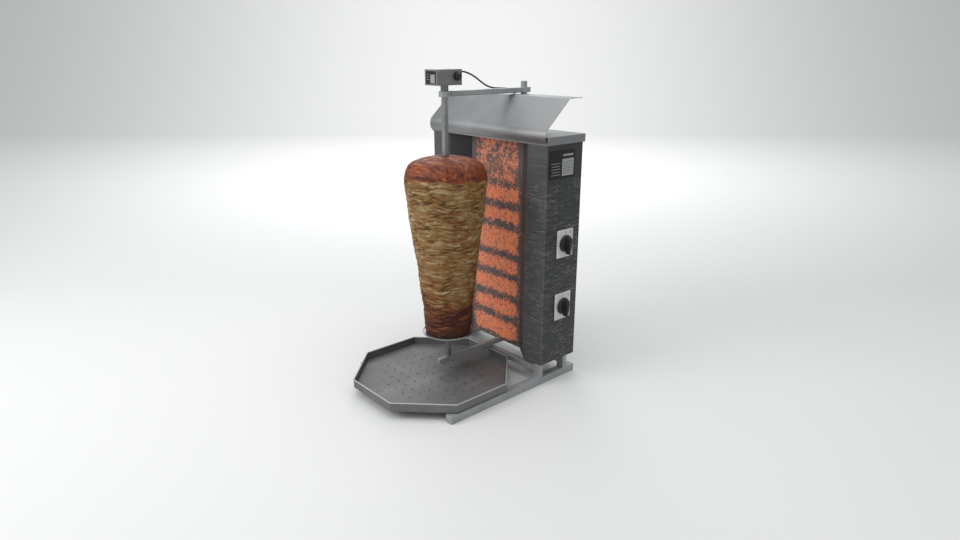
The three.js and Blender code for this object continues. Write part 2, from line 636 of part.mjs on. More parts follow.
function hoodPath() {
  const path = [];
  const steps = 8;
  const from = 3.86; // lower edge, touching the lid's rim
  const to = 2.46; // where the nose runs into the slope
  const [centreY, centreZ] = NOSE_CENTRE;
  for (let i = 0; i <= steps; i++) {
    const angle = from + ((to - from) * i) / steps;
    path.push([centreY + NOSE_RADIUS * Math.cos(angle), centreZ + NOSE_RADIUS * Math.sin(angle)]);
  }
  return [...path, SLOPE_TOP, FLANGE_BACK];
}

function addHood() {
  const x = HALF_WIDTH + LID_OVERHANG;
  const sheet = alongX(foldedSheet(hoodPath(), -HOOD_SHEET), -x, x);
  const notch = box(-9, AXIS_X + 12, MAST_Y - 19, FLANGE_BACK[0] + 5, 800, 820);
  piece('hood', cut(sheet, notch), steel);
  const top = FLANGE_BACK[1] - HOOD_SHEET - 1.2;
  const foot = LID_TOP + GAP;
  for (const [side, sign] of Object.entries({ left: -1, right: 1 })) {
    const bracket = [
      [0, foot], [18, foot], [18, foot + 2], [2, foot + 2],
      [2, top - 2], [18, top - 2], [18, top], [0, top],
    ].map(([across, z]) => [109 * sign - 9 + across, z]);
    piece(`hood_bracket_${side}`, alongY(bracket, 104, 126), steel);
  }
}

function addHeater() {
  const half = RECESS_HALF_WIDTH - GAP * 1.5;
  const foot = CABINET_BOTTOM + SHEET + GAP;
  const pane = box(-half, half, RECESS_DEPTH + GAP, RECESS_DEPTH + 4.3, foot, LID_BOTTOM - 1);
  piece('radiant_pane', pane, glowingGlass);
  piece('insulation_board', box(-104, 104, 68, 90, foot, LID_BOTTOM - 1), ceramicFibre);

  // four hairpin elements, two glowing rows each
  const rowSpacing = 72;
  const bend = rowSpacing / 2;
  for (let i = 0; i < 4; i++) {
    const z0 = 100 + i * 148;
    const route = [[-95, 58, z0], [-50, 58, z0], [0, 58, z0], [40, 58, z0]];
    for (let k = 1; k < 6; k++) {
      const angle = -Math.PI / 2 + (k * Math.PI) / 6;
      route.push([55 + bend * Math.cos(angle), 58, z0 + bend + bend * Math.sin(angle)]);
    }
    const top = z0 + rowSpacing;
    route.push([40, 58, top], [0, 58, top], [-50, 58, top], [-95, 58, top]);
    piece(`heater_element_${i + 1}`, tubeAlong(route, 4, 8, 22), heaterAlloy);
  }
}

// ---------------------------------------------------------------- controls
function controlKnob() {
  const base = turned([
    [0, -28], [3, -28], [3, BEZEL_THICKNESS + 5 * GAP], [KNOB_RADIUS, BEZEL_THICKNESS + 5 * GAP],
    [KNOB_RADIUS, 10], [KNOB_RADIUS - 3, 12.5], [0, 12.5],
  ], 28);
  const back = -KNOB_RADIUS + 3;
  const nose = KNOB_RADIUS + 6;
  const grip = raise([[back, -6], [nose, -3.5], [nose, 3.5], [back, 6]], 10, 26);
  return join(base, grip);
}

function addControls() {
  for (const [level, z] of Object.entries(CONTROL_HEIGHTS)) {
    const bezel = box(
      HALF_WIDTH + GAP, HALF_WIDTH + GAP + BEZEL_THICKNESS,
      CONTROL_Y - BEZEL_WIDTH / 2, CONTROL_Y + BEZEL_WIDTH / 2,
      z - BEZEL_HEIGHT / 2, z + BEZEL_HEIGHT / 2,
    );
    const hole = layAlongX(disc(5, -4, 8, 12), HALF_WIDTH, CONTROL_Y, z);
    piece(`bezel_${level}`, cut(bezel, hole), bezelMetal);
    // after this turn the grip of the knob points down
    piece(`control_knob_${level}`, layAlongX(controlKnob(), HALF_WIDTH, CONTROL_Y, z), blackPlastic);
    const inside = HALF_WIDTH - SHEET - GAP;
    const body = box(inside - 42, inside, CONTROL_Y - 22, CONTROL_Y + 22, z - 22, z + 22);
    const spindle = layAlongX(disc(3.6, -32, 4, 12), HALF_WIDTH, CONTROL_Y, z);
    piece(`power_switch_${level}`, cut(body, spindle), blackPlastic);
  }
  const label = box(HALF_WIDTH + GAP, HALF_WIDTH + GAP + 1, 10.5, 111, 602.5, 679);
  piece('data_label_plate', label, labelPlastic);
}

addBaseFrame();
addTray();
addLowerBearing();
addSpit();
addMast();
addUpperArm();
addMotorDrive();
addMotorHousing();
addMotorCord();
addCasing();
addLid();
addHood();
addHeater();
addControls();

export default broiler;
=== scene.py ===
"""Looks of a vertical rotisserie broiler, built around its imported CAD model.

Metres, +Z up, -Y is the front where the cook stands, +X the side with the controls.
"""
import math
import random

import bmesh
import bpy
import numpy as np
from mathutils import Matrix, Vector, noise
from mathutils.kdtree import KDTree


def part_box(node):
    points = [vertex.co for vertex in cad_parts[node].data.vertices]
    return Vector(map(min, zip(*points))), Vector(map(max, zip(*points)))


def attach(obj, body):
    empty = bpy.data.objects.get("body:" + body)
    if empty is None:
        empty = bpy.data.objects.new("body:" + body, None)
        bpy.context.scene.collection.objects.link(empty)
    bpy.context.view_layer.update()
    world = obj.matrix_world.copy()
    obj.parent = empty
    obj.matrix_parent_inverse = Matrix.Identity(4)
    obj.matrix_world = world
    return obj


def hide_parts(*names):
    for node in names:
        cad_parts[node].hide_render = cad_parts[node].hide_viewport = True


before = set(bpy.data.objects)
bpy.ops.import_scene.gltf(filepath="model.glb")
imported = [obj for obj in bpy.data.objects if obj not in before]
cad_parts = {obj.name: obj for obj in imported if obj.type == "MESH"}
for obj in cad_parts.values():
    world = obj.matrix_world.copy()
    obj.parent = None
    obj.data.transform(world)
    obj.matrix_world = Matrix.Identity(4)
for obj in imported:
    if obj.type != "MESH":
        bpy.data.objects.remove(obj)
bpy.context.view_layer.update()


# ---------- places, read from the frame
def middle(node):
    low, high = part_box(node)
    return (low + high) / 2


SPIT = middle("spit_rod")
MAST = middle("mast")
TRAY = middle("drip_tray")
PANE_LOW, PANE_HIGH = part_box("radiant_pane")
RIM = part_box("drip_tray")[1].z
CABINET_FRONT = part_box("side_panel_right")[0].y
BODY = "stand"


def placed(name, data):
    """New object in the scene that holds the data."""
    made = bpy.data.objects.new(name, data)
    bpy.context.scene.collection.objects.link(made)
    return made


def shown(name, bm):
    """New object in the scene with the shape of a bmesh, which is freed."""
    mesh = bpy.data.meshes.new(name)
    bm.to_mesh(mesh)
    bm.free()
    return placed(name, mesh)


# ---------- camera, cord and stage
CAMERA_PLACE = (1.43534, -1.17221, 0.93643)
CAMERA_DOWN = 18.15  # degrees below level
CAMERA_AROUND = 48.298  # degrees from the front towards the control side
CAMERA_LENS = 25.292


def make_camera():
    data = bpy.data.cameras.new("camera")
    data.lens = CAMERA_LENS
    data.sensor_width = 36
    camera = placed("camera", data)
    camera.location = CAMERA_PLACE
    camera.rotation_euler = (math.radians(90 - CAMERA_DOWN), 0, math.radians(CAMERA_AROUND))
    bpy.context.scene.camera = camera


# the route is in the machine's own frame, as in the part's source, and moves to this one by ORIGIN
ORIGIN = Vector((0.01325, -0.1403, 0))
CORD_RADIUS = 0.0023
CORD_ROUTE = [
    (0.02, -0.1055, 0.8795), (0.02, -0.1, 0.8791), (0.02, -0.093, 0.8778), (0.0198, -0.084, 0.8754),
    (0.0194, -0.073, 0.8716), (0.0186, -0.062, 0.867), (0.0174, -0.051, 0.8617), (0.0158, -0.04, 0.8558),
    (0.0138, -0.029, 0.85), (0.0114, -0.018, 0.8448), (0.0088, -0.007, 0.8404), (0.006, 0.005, 0.8366),
    (0.0032, 0.018, 0.8338), (0.0008, 0.032, 0.8316), (-0.0012, 0.047, 0.8304), (-0.0026, 0.062, 0.8296),
    (-0.0034, 0.077, 0.8288), (-0.0038, 0.09, 0.8276), (-0.004, 0.101, 0.8252), (-0.004, 0.1105, 0.8208),
    (-0.004, 0.1176, 0.8144), (-0.004, 0.1218, 0.8066), (-0.004, 0.1236, 0.797), (-0.004, 0.124, 0.786),
    (-0.004, 0.124, 0.772), (-0.004, 0.124, 0.757), (-0.004, 0.124, 0.742), (-0.004, 0.124, 0.7315),
]


def make_cord(look):
    curve = bpy.data.curves.new("motor_flex", "CURVE")
    curve.dimensions = "3D"
    curve.bevel_depth = CORD_RADIUS
    curve.bevel_resolution = 5
    curve.resolution_u = 6
    curve.use_fill_caps = True
    spline = curve.splines.new("BEZIER")
    spline.bezier_points.add(len(CORD_ROUTE) - 1)
    for point, place in zip(spline.bezier_points, CORD_ROUTE):
        point.co = Vector(place) - ORIGIN
        point.handle_left_type = point.handle_right_type = "AUTO"
    flex = placed("motor_flex", curve)
    curve.materials.append(look)
    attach(flex, BODY)
    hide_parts("motor_cord")


def make_stage():
    """Pale floor that curves up into a backdrop, square to the camera's view."""
    half_width, near_edge, bend_start, bend_radius, top = 14.4, -9.0, 6.0, 2.5, 5.0
    turn_degrees = 48.3
    steps = 24
    path = [(near_edge, 0.0), (bend_start, 0.0)]
    for i in range(1, steps + 1):
        turn = (i / steps) * math.pi / 2
        path.append((bend_start + bend_radius * math.sin(turn), bend_radius * (1 - math.cos(turn))))
    path.append((path[-1][0], top))
    bm = bmesh.new()
    rows = [[bm.verts.new((side * half_width, along, height)) for side in (-1, 1)] for along, height in path]
    for a, b in zip(rows, rows[1:]):
        bm.faces.new((a[0], a[1], b[1], b[0]))
    floor = shown("studio_floor", bm)
    floor.data.shade_smooth()
    floor.rotation_euler.z = math.radians(turn_degrees)
    look = Look("studio_floor", Roughness=0.9)
    look.base((0.62, 0.62, 0.61, 1))
    floor.data.materials.append(look.material)


def area_light(name, place, target, size, power):
    data = bpy.data.lights.new(name, "AREA")
    data.shape = "RECTANGLE"
    data.size, data.size_y = size
    data.energy = power
    light = placed(name, data)
    light.location = place
    light.rotation_euler = (Vector(target) - Vector(place)).to_track_quat("-Z", "Y").to_euler()


def make_lights():
    aim = (0, 0, 0.45)
    area_light("key_light", (-1.0, -2.6, 2.1), aim, (1.8, 1.8), 58)
    area_light("fill_light", (2.6, -0.4, 1.4), aim, (1.6, 2.0), 2)
    area_light("top_light", (0.0, 0.2, 3.0), aim, (3.2, 3.2), 52)
    area_light("rim_light", (-2.4, 1.8, 2.2), aim, (1.4, 1.4), 20)
    area_light("backdrop_light", (-2.4, 2.1, 3.8), (-6.2, 5.5, 0.6), (4.0, 3.0), 260)
    world = bpy.data.worlds.new("studio")
    bpy.context.scene.world = world
    world.use_nodes = True
    background = world.node_tree.nodes["Background"]
    background.inputs["Color"].default_value = (0.9, 0.93, 0.96, 1)
    background.inputs["Strength"].default_value = 0.68
    bpy.context.scene.view_settings.view_transform = "Standard"


# ---------- material helpers
class Look:
    """One procedural material: constants go straight on the shader's own sockets."""

    def __init__(self, name, **constants):
        self.material = bpy.data.materials.new(name)
        self.material.use_nodes = True
        self.tree = self.material.node_tree
        self.shader = self.tree.nodes["Principled BSDF"]
        for socket, value in constants.items():
            self.shader.inputs[socket.replace("_", " ")].default_value = value
        self.place = self.node("TexCoord").outputs["Object"]

    def node(self, kind, **settings):
        made = self.tree.nodes.new("ShaderNode" + kind)
        for setting, value in settings.items():
            setattr(made, setting, value)
        return made

    def feed(self, socket, value):
        if isinstance(value, bpy.types.NodeSocket):
            self.tree.links.new(value, socket)
        else:
            socket.default_value = value

    def shade(self, socket, value):
        self.feed(self.shader.inputs[socket], value)

    def base(self, color):
        self.shade("Base Color", color)

    def relief(self, *settings, **more):
        self.shade("Normal", self.bump(*settings, **more))

    def stretched(self, scale, turn=(0, 0, 0), place=None):
        mapping = self.node("Mapping")
        self.feed(mapping.inputs["Vector"], place or self.place)
        mapping.inputs["Scale"].default_value = scale
        mapping.inputs["Rotation"].default_value = turn
        return mapping.outputs["Vector"]

    def noise(self, scale, place=None, stretch=None, turn=(0, 0, 0),
              detail=3.0, roughness=0.55, distortion=0.0):
        place = self.stretched(stretch, turn) if stretch else place or self.place
        made = self.node("TexNoise")
        self.feed(made.inputs["Vector"], place)
        made.inputs["Scale"].default_value = scale
        made.inputs["Detail"].default_value = detail
        made.inputs["Roughness"].default_value = roughness
        made.inputs["Distortion"].default_value = distortion
        return made.outputs[0]

    def maths(self, operation, a, b=0.0, c=0.0):
        made = self.node("Math", operation=operation)
        for socket, value in zip(made.inputs, (a, b, c)):
            self.feed(socket, value)
        return made.outputs[0]

    def product(self, a, b):
        return self.maths("MULTIPLY", a, b)

    def varied(self, value, noise_value, amount):
        """The value plus a noise centred on zero."""
        return self.maths("MULTIPLY_ADD", self.maths("SUBTRACT", noise_value, 0.5), amount, value)

    def remap(self, value, low, high, to_low=0.0, to_high=1.0):
        made = self.node("MapRange", interpolation_type="SMOOTHSTEP")
        for socket, number in zip(made.inputs, (value, low, high, to_low, to_high)):
            self.feed(socket, number)
        return made.outputs[0]

    def ramp(self, value, stops):
        made = self.node("ValToRGB")
        self.feed(made.inputs["Fac"], value)
        elements = made.color_ramp.elements
        while len(elements) < len(stops):
            elements.new(0.5)
        for element, (position, color) in zip(elements, sorted(stops, key=lambda stop: stop[0])):
            element.position = position
            element.color = (*color, 1)
        return made.outputs["Color"]

    def mottle(self, cloud, dark, light):
        """Two tones mixed by a noise."""
        return self.ramp(cloud, [(0.3, dark), (0.7, light)])

    def gate(self, value, stops):
        """Plain share from 0 to 1 that follows stops of (position, level)."""
        return self.ramp(value, [(position, (level,) * 3) for position, level in stops])

    def blend(self, share, a, b):
        made = self.node("Mix", data_type="RGBA")
        self.feed(made.inputs["Factor"], share)
        for socket, color in ((made.inputs[6], a), (made.inputs[7], b)):
            self.feed(socket, color if isinstance(color, bpy.types.NodeSocket) else (*color, 1))
        return made.outputs[2]

    def bump(self, height, distance, strength=1.0, under=None):
        made = self.node("Bump")
        made.inputs["Strength"].default_value = strength
        made.inputs["Distance"].default_value = distance
        self.feed(made.inputs["Height"], height)
        if under:
            self.feed(made.inputs["Normal"], under)
        return made.outputs["Normal"]

    def axis(self, name):
        made = self.node("SeparateXYZ")
        self.feed(made.inputs[0], self.place)
        return made.outputs[name]

    def attribute(self, name):
        return self.node("Attribute", attribute_name=name).outputs["Fac"]


def satin_steel(name, dark, light, roughness=0.4, brush=(1, 1, 1), smudge=9.0):
    """Stainless sheet: fine brushing along one axis, faint smudges and cloudy tone."""
    look = Look(name, Metallic=1.0)
    cloud = look.noise(smudge, detail=4)
    grain = look.noise(900, stretch=brush, detail=2)
    tone = look.maths("MULTIPLY_ADD", grain, 0.30, look.product(cloud, 0.75))
    look.base(look.ramp(tone, [(0.25, dark), (0.80, light)]))
    rough = look.remap(cloud, 0.3, 0.7, roughness - 0.05, roughness + 0.08)
    look.shade("Roughness", look.maths("MULTIPLY_ADD", grain, 0.10, rough))
    look.relief(grain, 0.00004, 0.6)
    return look.material


SMOOTH_ABOVE = 0.59  # the ripples of the cabinet sheet fade out at this height


def rippled_steel():
    """Cabinet sheet: wavy ridges with a painted highlight on their crests, smooth near the top, and front
    faces painted lighter than the side as painted light.
    """
    look = Look("rippled_steel", Metallic=0.55)
    sway = look.noise(13, detail=2)
    lift = look.node("CombineXYZ")
    look.feed(lift.inputs["Z"], look.product(sway, 0.020))
    added = look.node("VectorMath", operation="ADD")
    look.feed(added.inputs[0], look.place)
    look.feed(added.inputs[1], lift.outputs[0])
    place = look.stretched((0.8, 0.8, 5.0), place=added.outputs[0])
    wave = look.noise(24, place=place, detail=2, roughness=0.45)
    ridge = look.remap(look.maths("ABSOLUTE", look.maths("SUBTRACT", wave, 0.5)), 0.0, 0.055, 1.0, 0.0)
    present = look.remap(look.noise(21, detail=2), 0.36, 0.58, 0.15, 1.0)
    fade = look.remap(look.axis("Z"), SMOOTH_ABOVE - 0.03, SMOOTH_ABOVE + 0.03, 1.0, 0.0)
    crest = look.product(look.product(ridge, present), fade)
    cloud = look.noise(7, detail=3)
    grain = look.noise(300, stretch=(0.2, 0.2, 1), detail=2)
    shade = look.blend(0.35, cloud, grain)
    ground = look.mottle(shade, (0.034, 0.035, 0.036), (0.054, 0.055, 0.057))
    # painted light: the front faces get a lighter copy of the sheet's tone, as if they caught more light
    # than the side
    front = look.remap(look.axis("Y"), CABINET_FRONT + 0.001, CABINET_FRONT + 0.006, 0.42, 0.0)
    ground = look.blend(front, ground, (0.17, 0.171, 0.173))
    # painted highlight: the ripple crests are painted lighter in the base colour
    look.base(look.blend(look.product(crest, 0.50), ground, (0.20, 0.202, 0.206)))
    look.shade("Roughness", look.remap(cloud, 0.3, 0.7, 0.40, 0.52))
    height = look.maths("MULTIPLY_ADD", wave, 0.8, look.product(crest, 0.5))
    look.relief(height, 0.0016, 0.8)
    return look.material


def coated_steel():
    """Light grey coat of the tubes: faint orange peel, a few rubbed patches."""
    look = Look("coated_steel", Metallic=0.35)
    cloud = look.noise(14, detail=4)
    peel = look.noise(620, detail=1)
    rubbed = look.remap(look.noise(75, detail=4, roughness=0.7), 0.60, 0.68, 0, 0.4)
    coat = look.mottle(cloud, (0.25, 0.255, 0.26), (0.34, 0.345, 0.35))
    look.base(look.blend(rubbed, coat, (0.44, 0.44, 0.44)))
    look.shade("Roughness", look.remap(cloud, 0.3, 0.7, 0.38, 0.50))
    look.relief(peel, 0.00005, 0.7)
    return look.material


def bright_steel():
    look = Look("bright_steel", Metallic=0.9)
    grain = look.noise(700, stretch=(1, 1, 0.03), detail=2)
    cloud = look.noise(22, detail=3)
    look.base(look.mottle(cloud, (0.27, 0.27, 0.27), (0.37, 0.37, 0.365)))
    look.shade("Roughness", look.remap(grain, 0.3, 0.7, 0.26, 0.38))
    look.relief(grain, 0.00003, 0.5)
    return look.material


def tray_steel():
    """Tray sheet: dull satin, with dried drips of fat, wiping marks and a painted highlight along the rim.
    """
    look = Look("tray_steel", Metallic=0.5)
    cloud = look.noise(8, detail=5, distortion=0.6)
    wipe = look.noise(60, stretch=(1, 0.12, 1), turn=(0, 0, 0.5), detail=3)
    spots = look.remap(look.noise(95, detail=2), 0.66, 0.74)
    ground = look.ramp(cloud, [(0.3, (0.125, 0.125, 0.124)), (0.72, (0.180, 0.180, 0.178))])
    wear_and_rim_highlight = look.blend(look.remap(wipe, 0.45, 0.75, 0, 0.30), ground, (0.23, 0.23, 0.228))
    # painted highlight: the top few millimetres of the rim are painted lighter, for the light the rolled
    # bead catches
    rim = look.remap(look.axis("Z"), RIM - 0.0040, RIM - 0.0020, 0, 0.75)
    wear_and_rim_highlight = look.blend(rim, wear_and_rim_highlight, (0.46, 0.46, 0.455))
    look.base(look.blend(look.product(spots, 0.30), wear_and_rim_highlight, (0.10, 0.085, 0.07)))
    look.shade("Roughness", look.maths("MULTIPLY_ADD", spots, 0.10, look.remap(wipe, 0.3, 0.7, 0.52, 0.64)))
    look.relief(wipe, 0.00005, 0.5)
    return look.material


def moulded_plastic(name, dark, light, roughness=0.42):
    look = Look(name, Specular_IOR_Level=0.3)
    grain = look.noise(1500, detail=2)
    cloud = look.noise(30, detail=3)
    look.base(look.mottle(cloud, dark, light))
    look.shade("Roughness", look.remap(cloud, 0.3, 0.7, roughness - 0.05, roughness + 0.08))
    look.relief(grain, 0.00006, 0.6)
    return look.material


def fibre_board():
    look = Look("fibre_board", Roughness=0.95)
    strands = look.noise(420, stretch=(0.25, 1, 1), detail=4)
    look.base(look.mottle(strands, (0.55, 0.52, 0.45), (0.78, 0.76, 0.70)))
    look.relief(strands, 0.0004, 0.8)
    return look.material


def scaled_alloy():
    look = Look("scaled_alloy", Metallic=0.7, Roughness=0.62)
    scale = look.noise(260, detail=4)
    look.base(look.mottle(scale, (0.06, 0.05, 0.05), (0.20, 0.17, 0.15)))
    look.relief(scale, 0.0002, 0.6)
    return look.material


def warm_metal(name, dark, light):
    look = Look(name, Metallic=1.0)
    cloud = look.noise(80, detail=3)
    look.base(look.mottle(cloud, dark, light))
    look.shade("Roughness", look.remap(cloud, 0.3, 0.7, 0.28, 0.42))
    return look.material


# heights of the dark rows between the glowing ones, above the table
DARK_ROWS = [0.141, 0.208, 0.280, 0.343, 0.435, 0.496, 0.560]
GLOW_HALF_WIDTH = 0.1005
MOTTLED_ABOVE = 0.575


def glowing_pane():
    """Radiant pane: speckled orange rows, fuzzy dark rows between them, mottled near the top."""
    look = Look("glowing_pane", Roughness=0.7, Emission_Strength=0.36)
    grain = look.noise(240, detail=2, roughness=0.7)
    speckle = look.noise(105, detail=4, roughness=0.7)
    sway = look.noise(24, detail=2)
    patch = look.noise(30, stretch=(1, 1, 0.7), detail=4, roughness=0.65)
    height = PANE_HIGH.z - PANE_LOW.z
    level = look.maths("MULTIPLY_ADD", sway, 0.014 / height, -0.007 / height)
    level = look.maths("MULTIPLY_ADD", look.axis("Z"), 1 / height, level)
    level = look.maths("SUBTRACT", level, PANE_LOW.z / height)
    stops = [(0.0, 0.0), (0.012, 0.0), (0.028, 1.0)]
    for row in DARK_ROWS:
        share = (row - PANE_LOW.z) / height
        deep = 0.30 if row == DARK_ROWS[-1] else 0.0
        for offset, value in ((-0.019, 1.0), (-0.0045, deep), (0.0045, deep), (0.019, 1.0)):
            stops.append((share + offset / height, value))
    faded = look.maths("SUBTRACT", 1.0, look.gate(level, stops))
    faded = look.product(faded, look.remap(patch, 0.34, 0.62, 0.62, 1.12))
    rows = look.maths("SUBTRACT", 1.0, faded)
    across = look.maths("ABSOLUTE", look.maths("SUBTRACT", look.axis("X"), (PANE_LOW.x + PANE_HIGH.x) / 2))
    edge = look.remap(across, GLOW_HALF_WIDTH - 0.018, GLOW_HALF_WIDTH + 0.008, 1.0, 0.0)
    mottled = look.remap(look.axis("Z"), MOTTLED_ABOVE - 0.03, MOTTLED_ABOVE + 0.02)
    thin = look.product(mottled, look.remap(patch, 0.36, 0.64, 0.80, 0.22))
    heat = look.maths("SUBTRACT", look.product(rows, edge), thin)
    heat = look.varied(heat, speckle, 2.6)
    heat = look.varied(heat, grain, 2.6)
    lit = look.remap(heat, 0.16, 1.10)
    ember = look.ramp(patch, [(0.35, (0.78, 0.165, 0.050)), (0.65, (0.62, 0.185, 0.090))])
    look.shade("Emission Color", look.blend(lit, (0.03, 0.022, 0.022), ember))
    ash = look.mottle(grain, (0.050, 0.042, 0.043), (0.100, 0.088, 0.090))
    # painted glow: where the rows glow, the base colour is also painted orange, standing in for their light
    painted_glow = look.mottle(speckle, (0.36, 0.105, 0.050), (0.46, 0.175, 0.095))
    look.base(look.blend(lit, ash, painted_glow))
    look.relief(speckle, 0.0006, 0.6)
    return look.material


def roast_meat():
    """Stacked slices: cream and golden edges, painted shade in the gaps, browned foot and crown."""
    look = Look("roast_meat", Specular_IOR_Level=0.30, Subsurface_Weight=0.05, Subsurface_Scale=0.003)
    slices = look.attribute("slice_tone")
    gap = look.attribute("gap")
    crown = look.attribute("crown")
    roast = look.attribute("roast")
    strands = look.noise(150, stretch=(0.35, 0.35, 2.6), detail=4, roughness=0.65)
    patches = look.noise(34, stretch=(0.8, 0.8, 2.6), detail=4, roughness=0.6)
    broad = look.noise(12, stretch=(1, 1, 1.6), detail=3, roughness=0.55)
    tone = look.maths("MULTIPLY_ADD", slices, 0.34, look.product(strands, 0.85))
    tone = look.varied(tone, patches, 0.85)
    tone = look.varied(tone, broad, 0.45)
    tone = look.maths("SUBTRACT", tone, look.product(roast, 0.52))
    side = look.ramp(tone, [
        (0.10, (0.050, 0.010, 0.005)), (0.26, (0.110, 0.026, 0.007)), (0.40, (0.165, 0.060, 0.013)),
        (0.52, (0.200, 0.100, 0.028)), (0.66, (0.250, 0.155, 0.062)), (0.86, (0.40, 0.31, 0.18)),
    ])
    fibres = look.noise(70, stretch=(0.18, 1.5, 1.2), turn=(0, 0, 0.9), detail=5, distortion=1.3)
    seared = look.ramp(fibres, [
        (0.28, (0.028, 0.006, 0.003)), (0.44, (0.105, 0.018, 0.005)), (0.56, (0.185, 0.040, 0.010)),
        (0.68, (0.27, 0.080, 0.022)), (0.84, (0.46, 0.25, 0.13)),
    ])
    color = look.blend(crown, side, seared)
    # painted shade: the gaps between slices and the crevice under the crown are darkened in the base colour
    painted_gap_shade = look.remap(gap, 0.25, 1.0, 0, 0.80)
    color = look.blend(painted_gap_shade, color, (0.075, 0.022, 0.007))
    look.base(color)
    grease = look.noise(70, detail=3)
    look.shade("Roughness", look.remap(grease, 0.35, 0.65, 0.52, 0.76))
    fine = look.bump(strands, 0.0009, 0.6)
    look.relief(fibres, 0.0005, 0.4, under=fine)
    return look.material


# ---------- shape helpers
def fillet(points, radius, steps=4, closed=False):
    """Round the corners of a path of 2D points by the given radius, where the corner has room."""
    count = len(points)
    rounded = []
    for i, point in enumerate(points):
        here = Vector(point)
        if not closed and i in (0, count - 1):
            rounded.append(here)
            continue
        before = Vector(points[i - 1]) - here
        after = Vector(points[(i + 1) % count]) - here
        angle = before.angle(after) if before.length and after.length else math.pi
        if angle > math.radians(177):
            rounded.append(here)
            continue
        reach = min(radius / math.tan(angle / 2), before.length * 0.49, after.length * 0.49)
        start = here + before.normalized() * reach
        end = here + after.normalized() * reach
        for step in range(steps + 1):
            t = step / steps
            rounded.append(start * (1 - t) ** 2 + here * 2 * t * (1 - t) + end * t ** 2)
    return rounded


def offset_path(points, distance):
    """Open 2D path moved to its left by a distance."""
    moved = []
    for i, point in enumerate(points):
        back = points[max(i - 1, 0)]
        ahead = points[min(i + 1, len(points) - 1)]
        along = (Vector(ahead) - Vector(back)).normalized()
        moved.append(Vector(point) + Vector((-along.y, along.x)) * distance)
    return moved


def circle(radius, count, centre=(0, 0)):
    turns = (2 * math.pi * i / count for i in range(count))
    return [Vector((centre[0] + radius * math.cos(t), centre[1] + radius * math.sin(t))) for t in turns]


def loft(rings, ring_of_rings=False):
    """Skin over equal rings of points; the ends are capped unless the last ring meets the first."""
    bm = bmesh.new()
    rows = [[bm.verts.new(point) for point in ring] for ring in rings]
    pairs = list(zip(rows, rows[1:]))
    if ring_of_rings:
        pairs.append((rows[-1], rows[0]))
    else:
        bm.faces.new(list(reversed(rows[0])))
        bm.faces.new(rows[-1])
    count = len(rows[0])
    for lower, upper in pairs:
        for i in range(count):
            j = (i + 1) % count
            bm.faces.new((lower[i], lower[j], upper[j], upper[i]))
    bmesh.ops.recalc_face_normals(bm, faces=bm.faces)
    return bm


def turned(profile, place, segments=64, rounding=0.0006, bored=False, lay=None):
    """Solid of revolution; profile is (radius, height above place) along Z, or along lay's axis."""
    path = fillet(profile, rounding, 4, closed=bored)
    if not bored:
        path = [p for p in path if p.x > 1e-7]
    rings = [[Vector((q.x, q.y, p.y)) for q in circle(p.x, segments)] for p in path]
    bm = loft(rings, ring_of_rings=bored)
    matrix = Matrix.Translation(place)
    if lay:
        matrix = matrix @ lay
    bm.transform(matrix)
    return bm


TOWARDS_X = Matrix.Rotation(math.pi / 2, 4, "Y")
TOWARDS_Y = Matrix.Rotation(-math.pi / 2, 4, "X")


def plate(loops, low, high, edge, matrix=None):
    """Flat plate between two heights from an outline and its holes, with rounded edges."""
    curve = bpy.data.curves.new("outline", "CURVE")
    curve.dimensions = "2D"
    curve.fill_mode = "BOTH"
    curve.extrude = (high - low) / 2 - edge
    curve.bevel_depth = edge
    curve.bevel_resolution = 2
    curve.offset = -edge
    for loop in loops:
        spline = curve.splines.new("POLY")
        spline.points.add(len(loop) - 1)
        for point, place in zip(spline.points, loop):
            point.co = (place[0], place[1], 0, 1)
        spline.use_cyclic_u = True
    bm = baked(curve)
    bmesh.ops.recalc_face_normals(bm, faces=bm.faces)
    bm.transform((matrix or Matrix.Identity(4)) @ Matrix.Translation((0, 0, (low + high) / 2)))
    return bm


def baked(curve):
    """The mesh of a curve or a text, with its doubled points joined; the curve is removed."""
    shape = bpy.data.objects.new(curve.name, curve)
    mesh = bpy.data.meshes.new_from_object(shape)
    bm = bmesh.new()
    bm.from_mesh(mesh)
    bmesh.ops.remove_doubles(bm, verts=bm.verts, dist=1e-6)
    bpy.data.objects.remove(shape)
    bpy.data.curves.remove(curve)
    bpy.data.meshes.remove(mesh)
    return bm


def rectangle(width, height, centre=(0, 0)):
    x, y = centre
    half_x, half_y = width / 2, height / 2
    return [(x + across * half_x, y + up * half_y) for across, up in ((-1, -1), (1, -1), (1, 1), (-1, 1))]


def upright(outline, levels):
    """Closed outline in X and Y carried up along Z."""
    return loft([[Vector((x, y, level)) for x, y in outline] for level in levels])


def extruded(points, x0, x1):
    """Closed outline in Y and Z carried along X."""
    return loft([[Vector((x, p[0], p[1])) for p in points] for x in (x0, x1)])


def piece(name, bm, look, body=BODY, stands_for=(), edge=0.0):
    """Smooth shaded piece of the visual, which rides on a body and may replace CAD nodes."""
    made = shown(name, bm)
    made.data.shade_smooth()
    made.data.materials.append(look)
    if edge:
        soften(made, edge)
    made.modifiers.new("even_normals", "WEIGHTED_NORMAL").keep_sharp = True
    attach(made, body)
    if stands_for:
        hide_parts(*stands_for)


def soften(made, width, segments=3):
    bevel = made.modifiers.new("soft_edges", "BEVEL")
    bevel.width = width
    bevel.segments = segments
    bevel.limit_method = "ANGLE"
    bevel.angle_limit = math.radians(32)


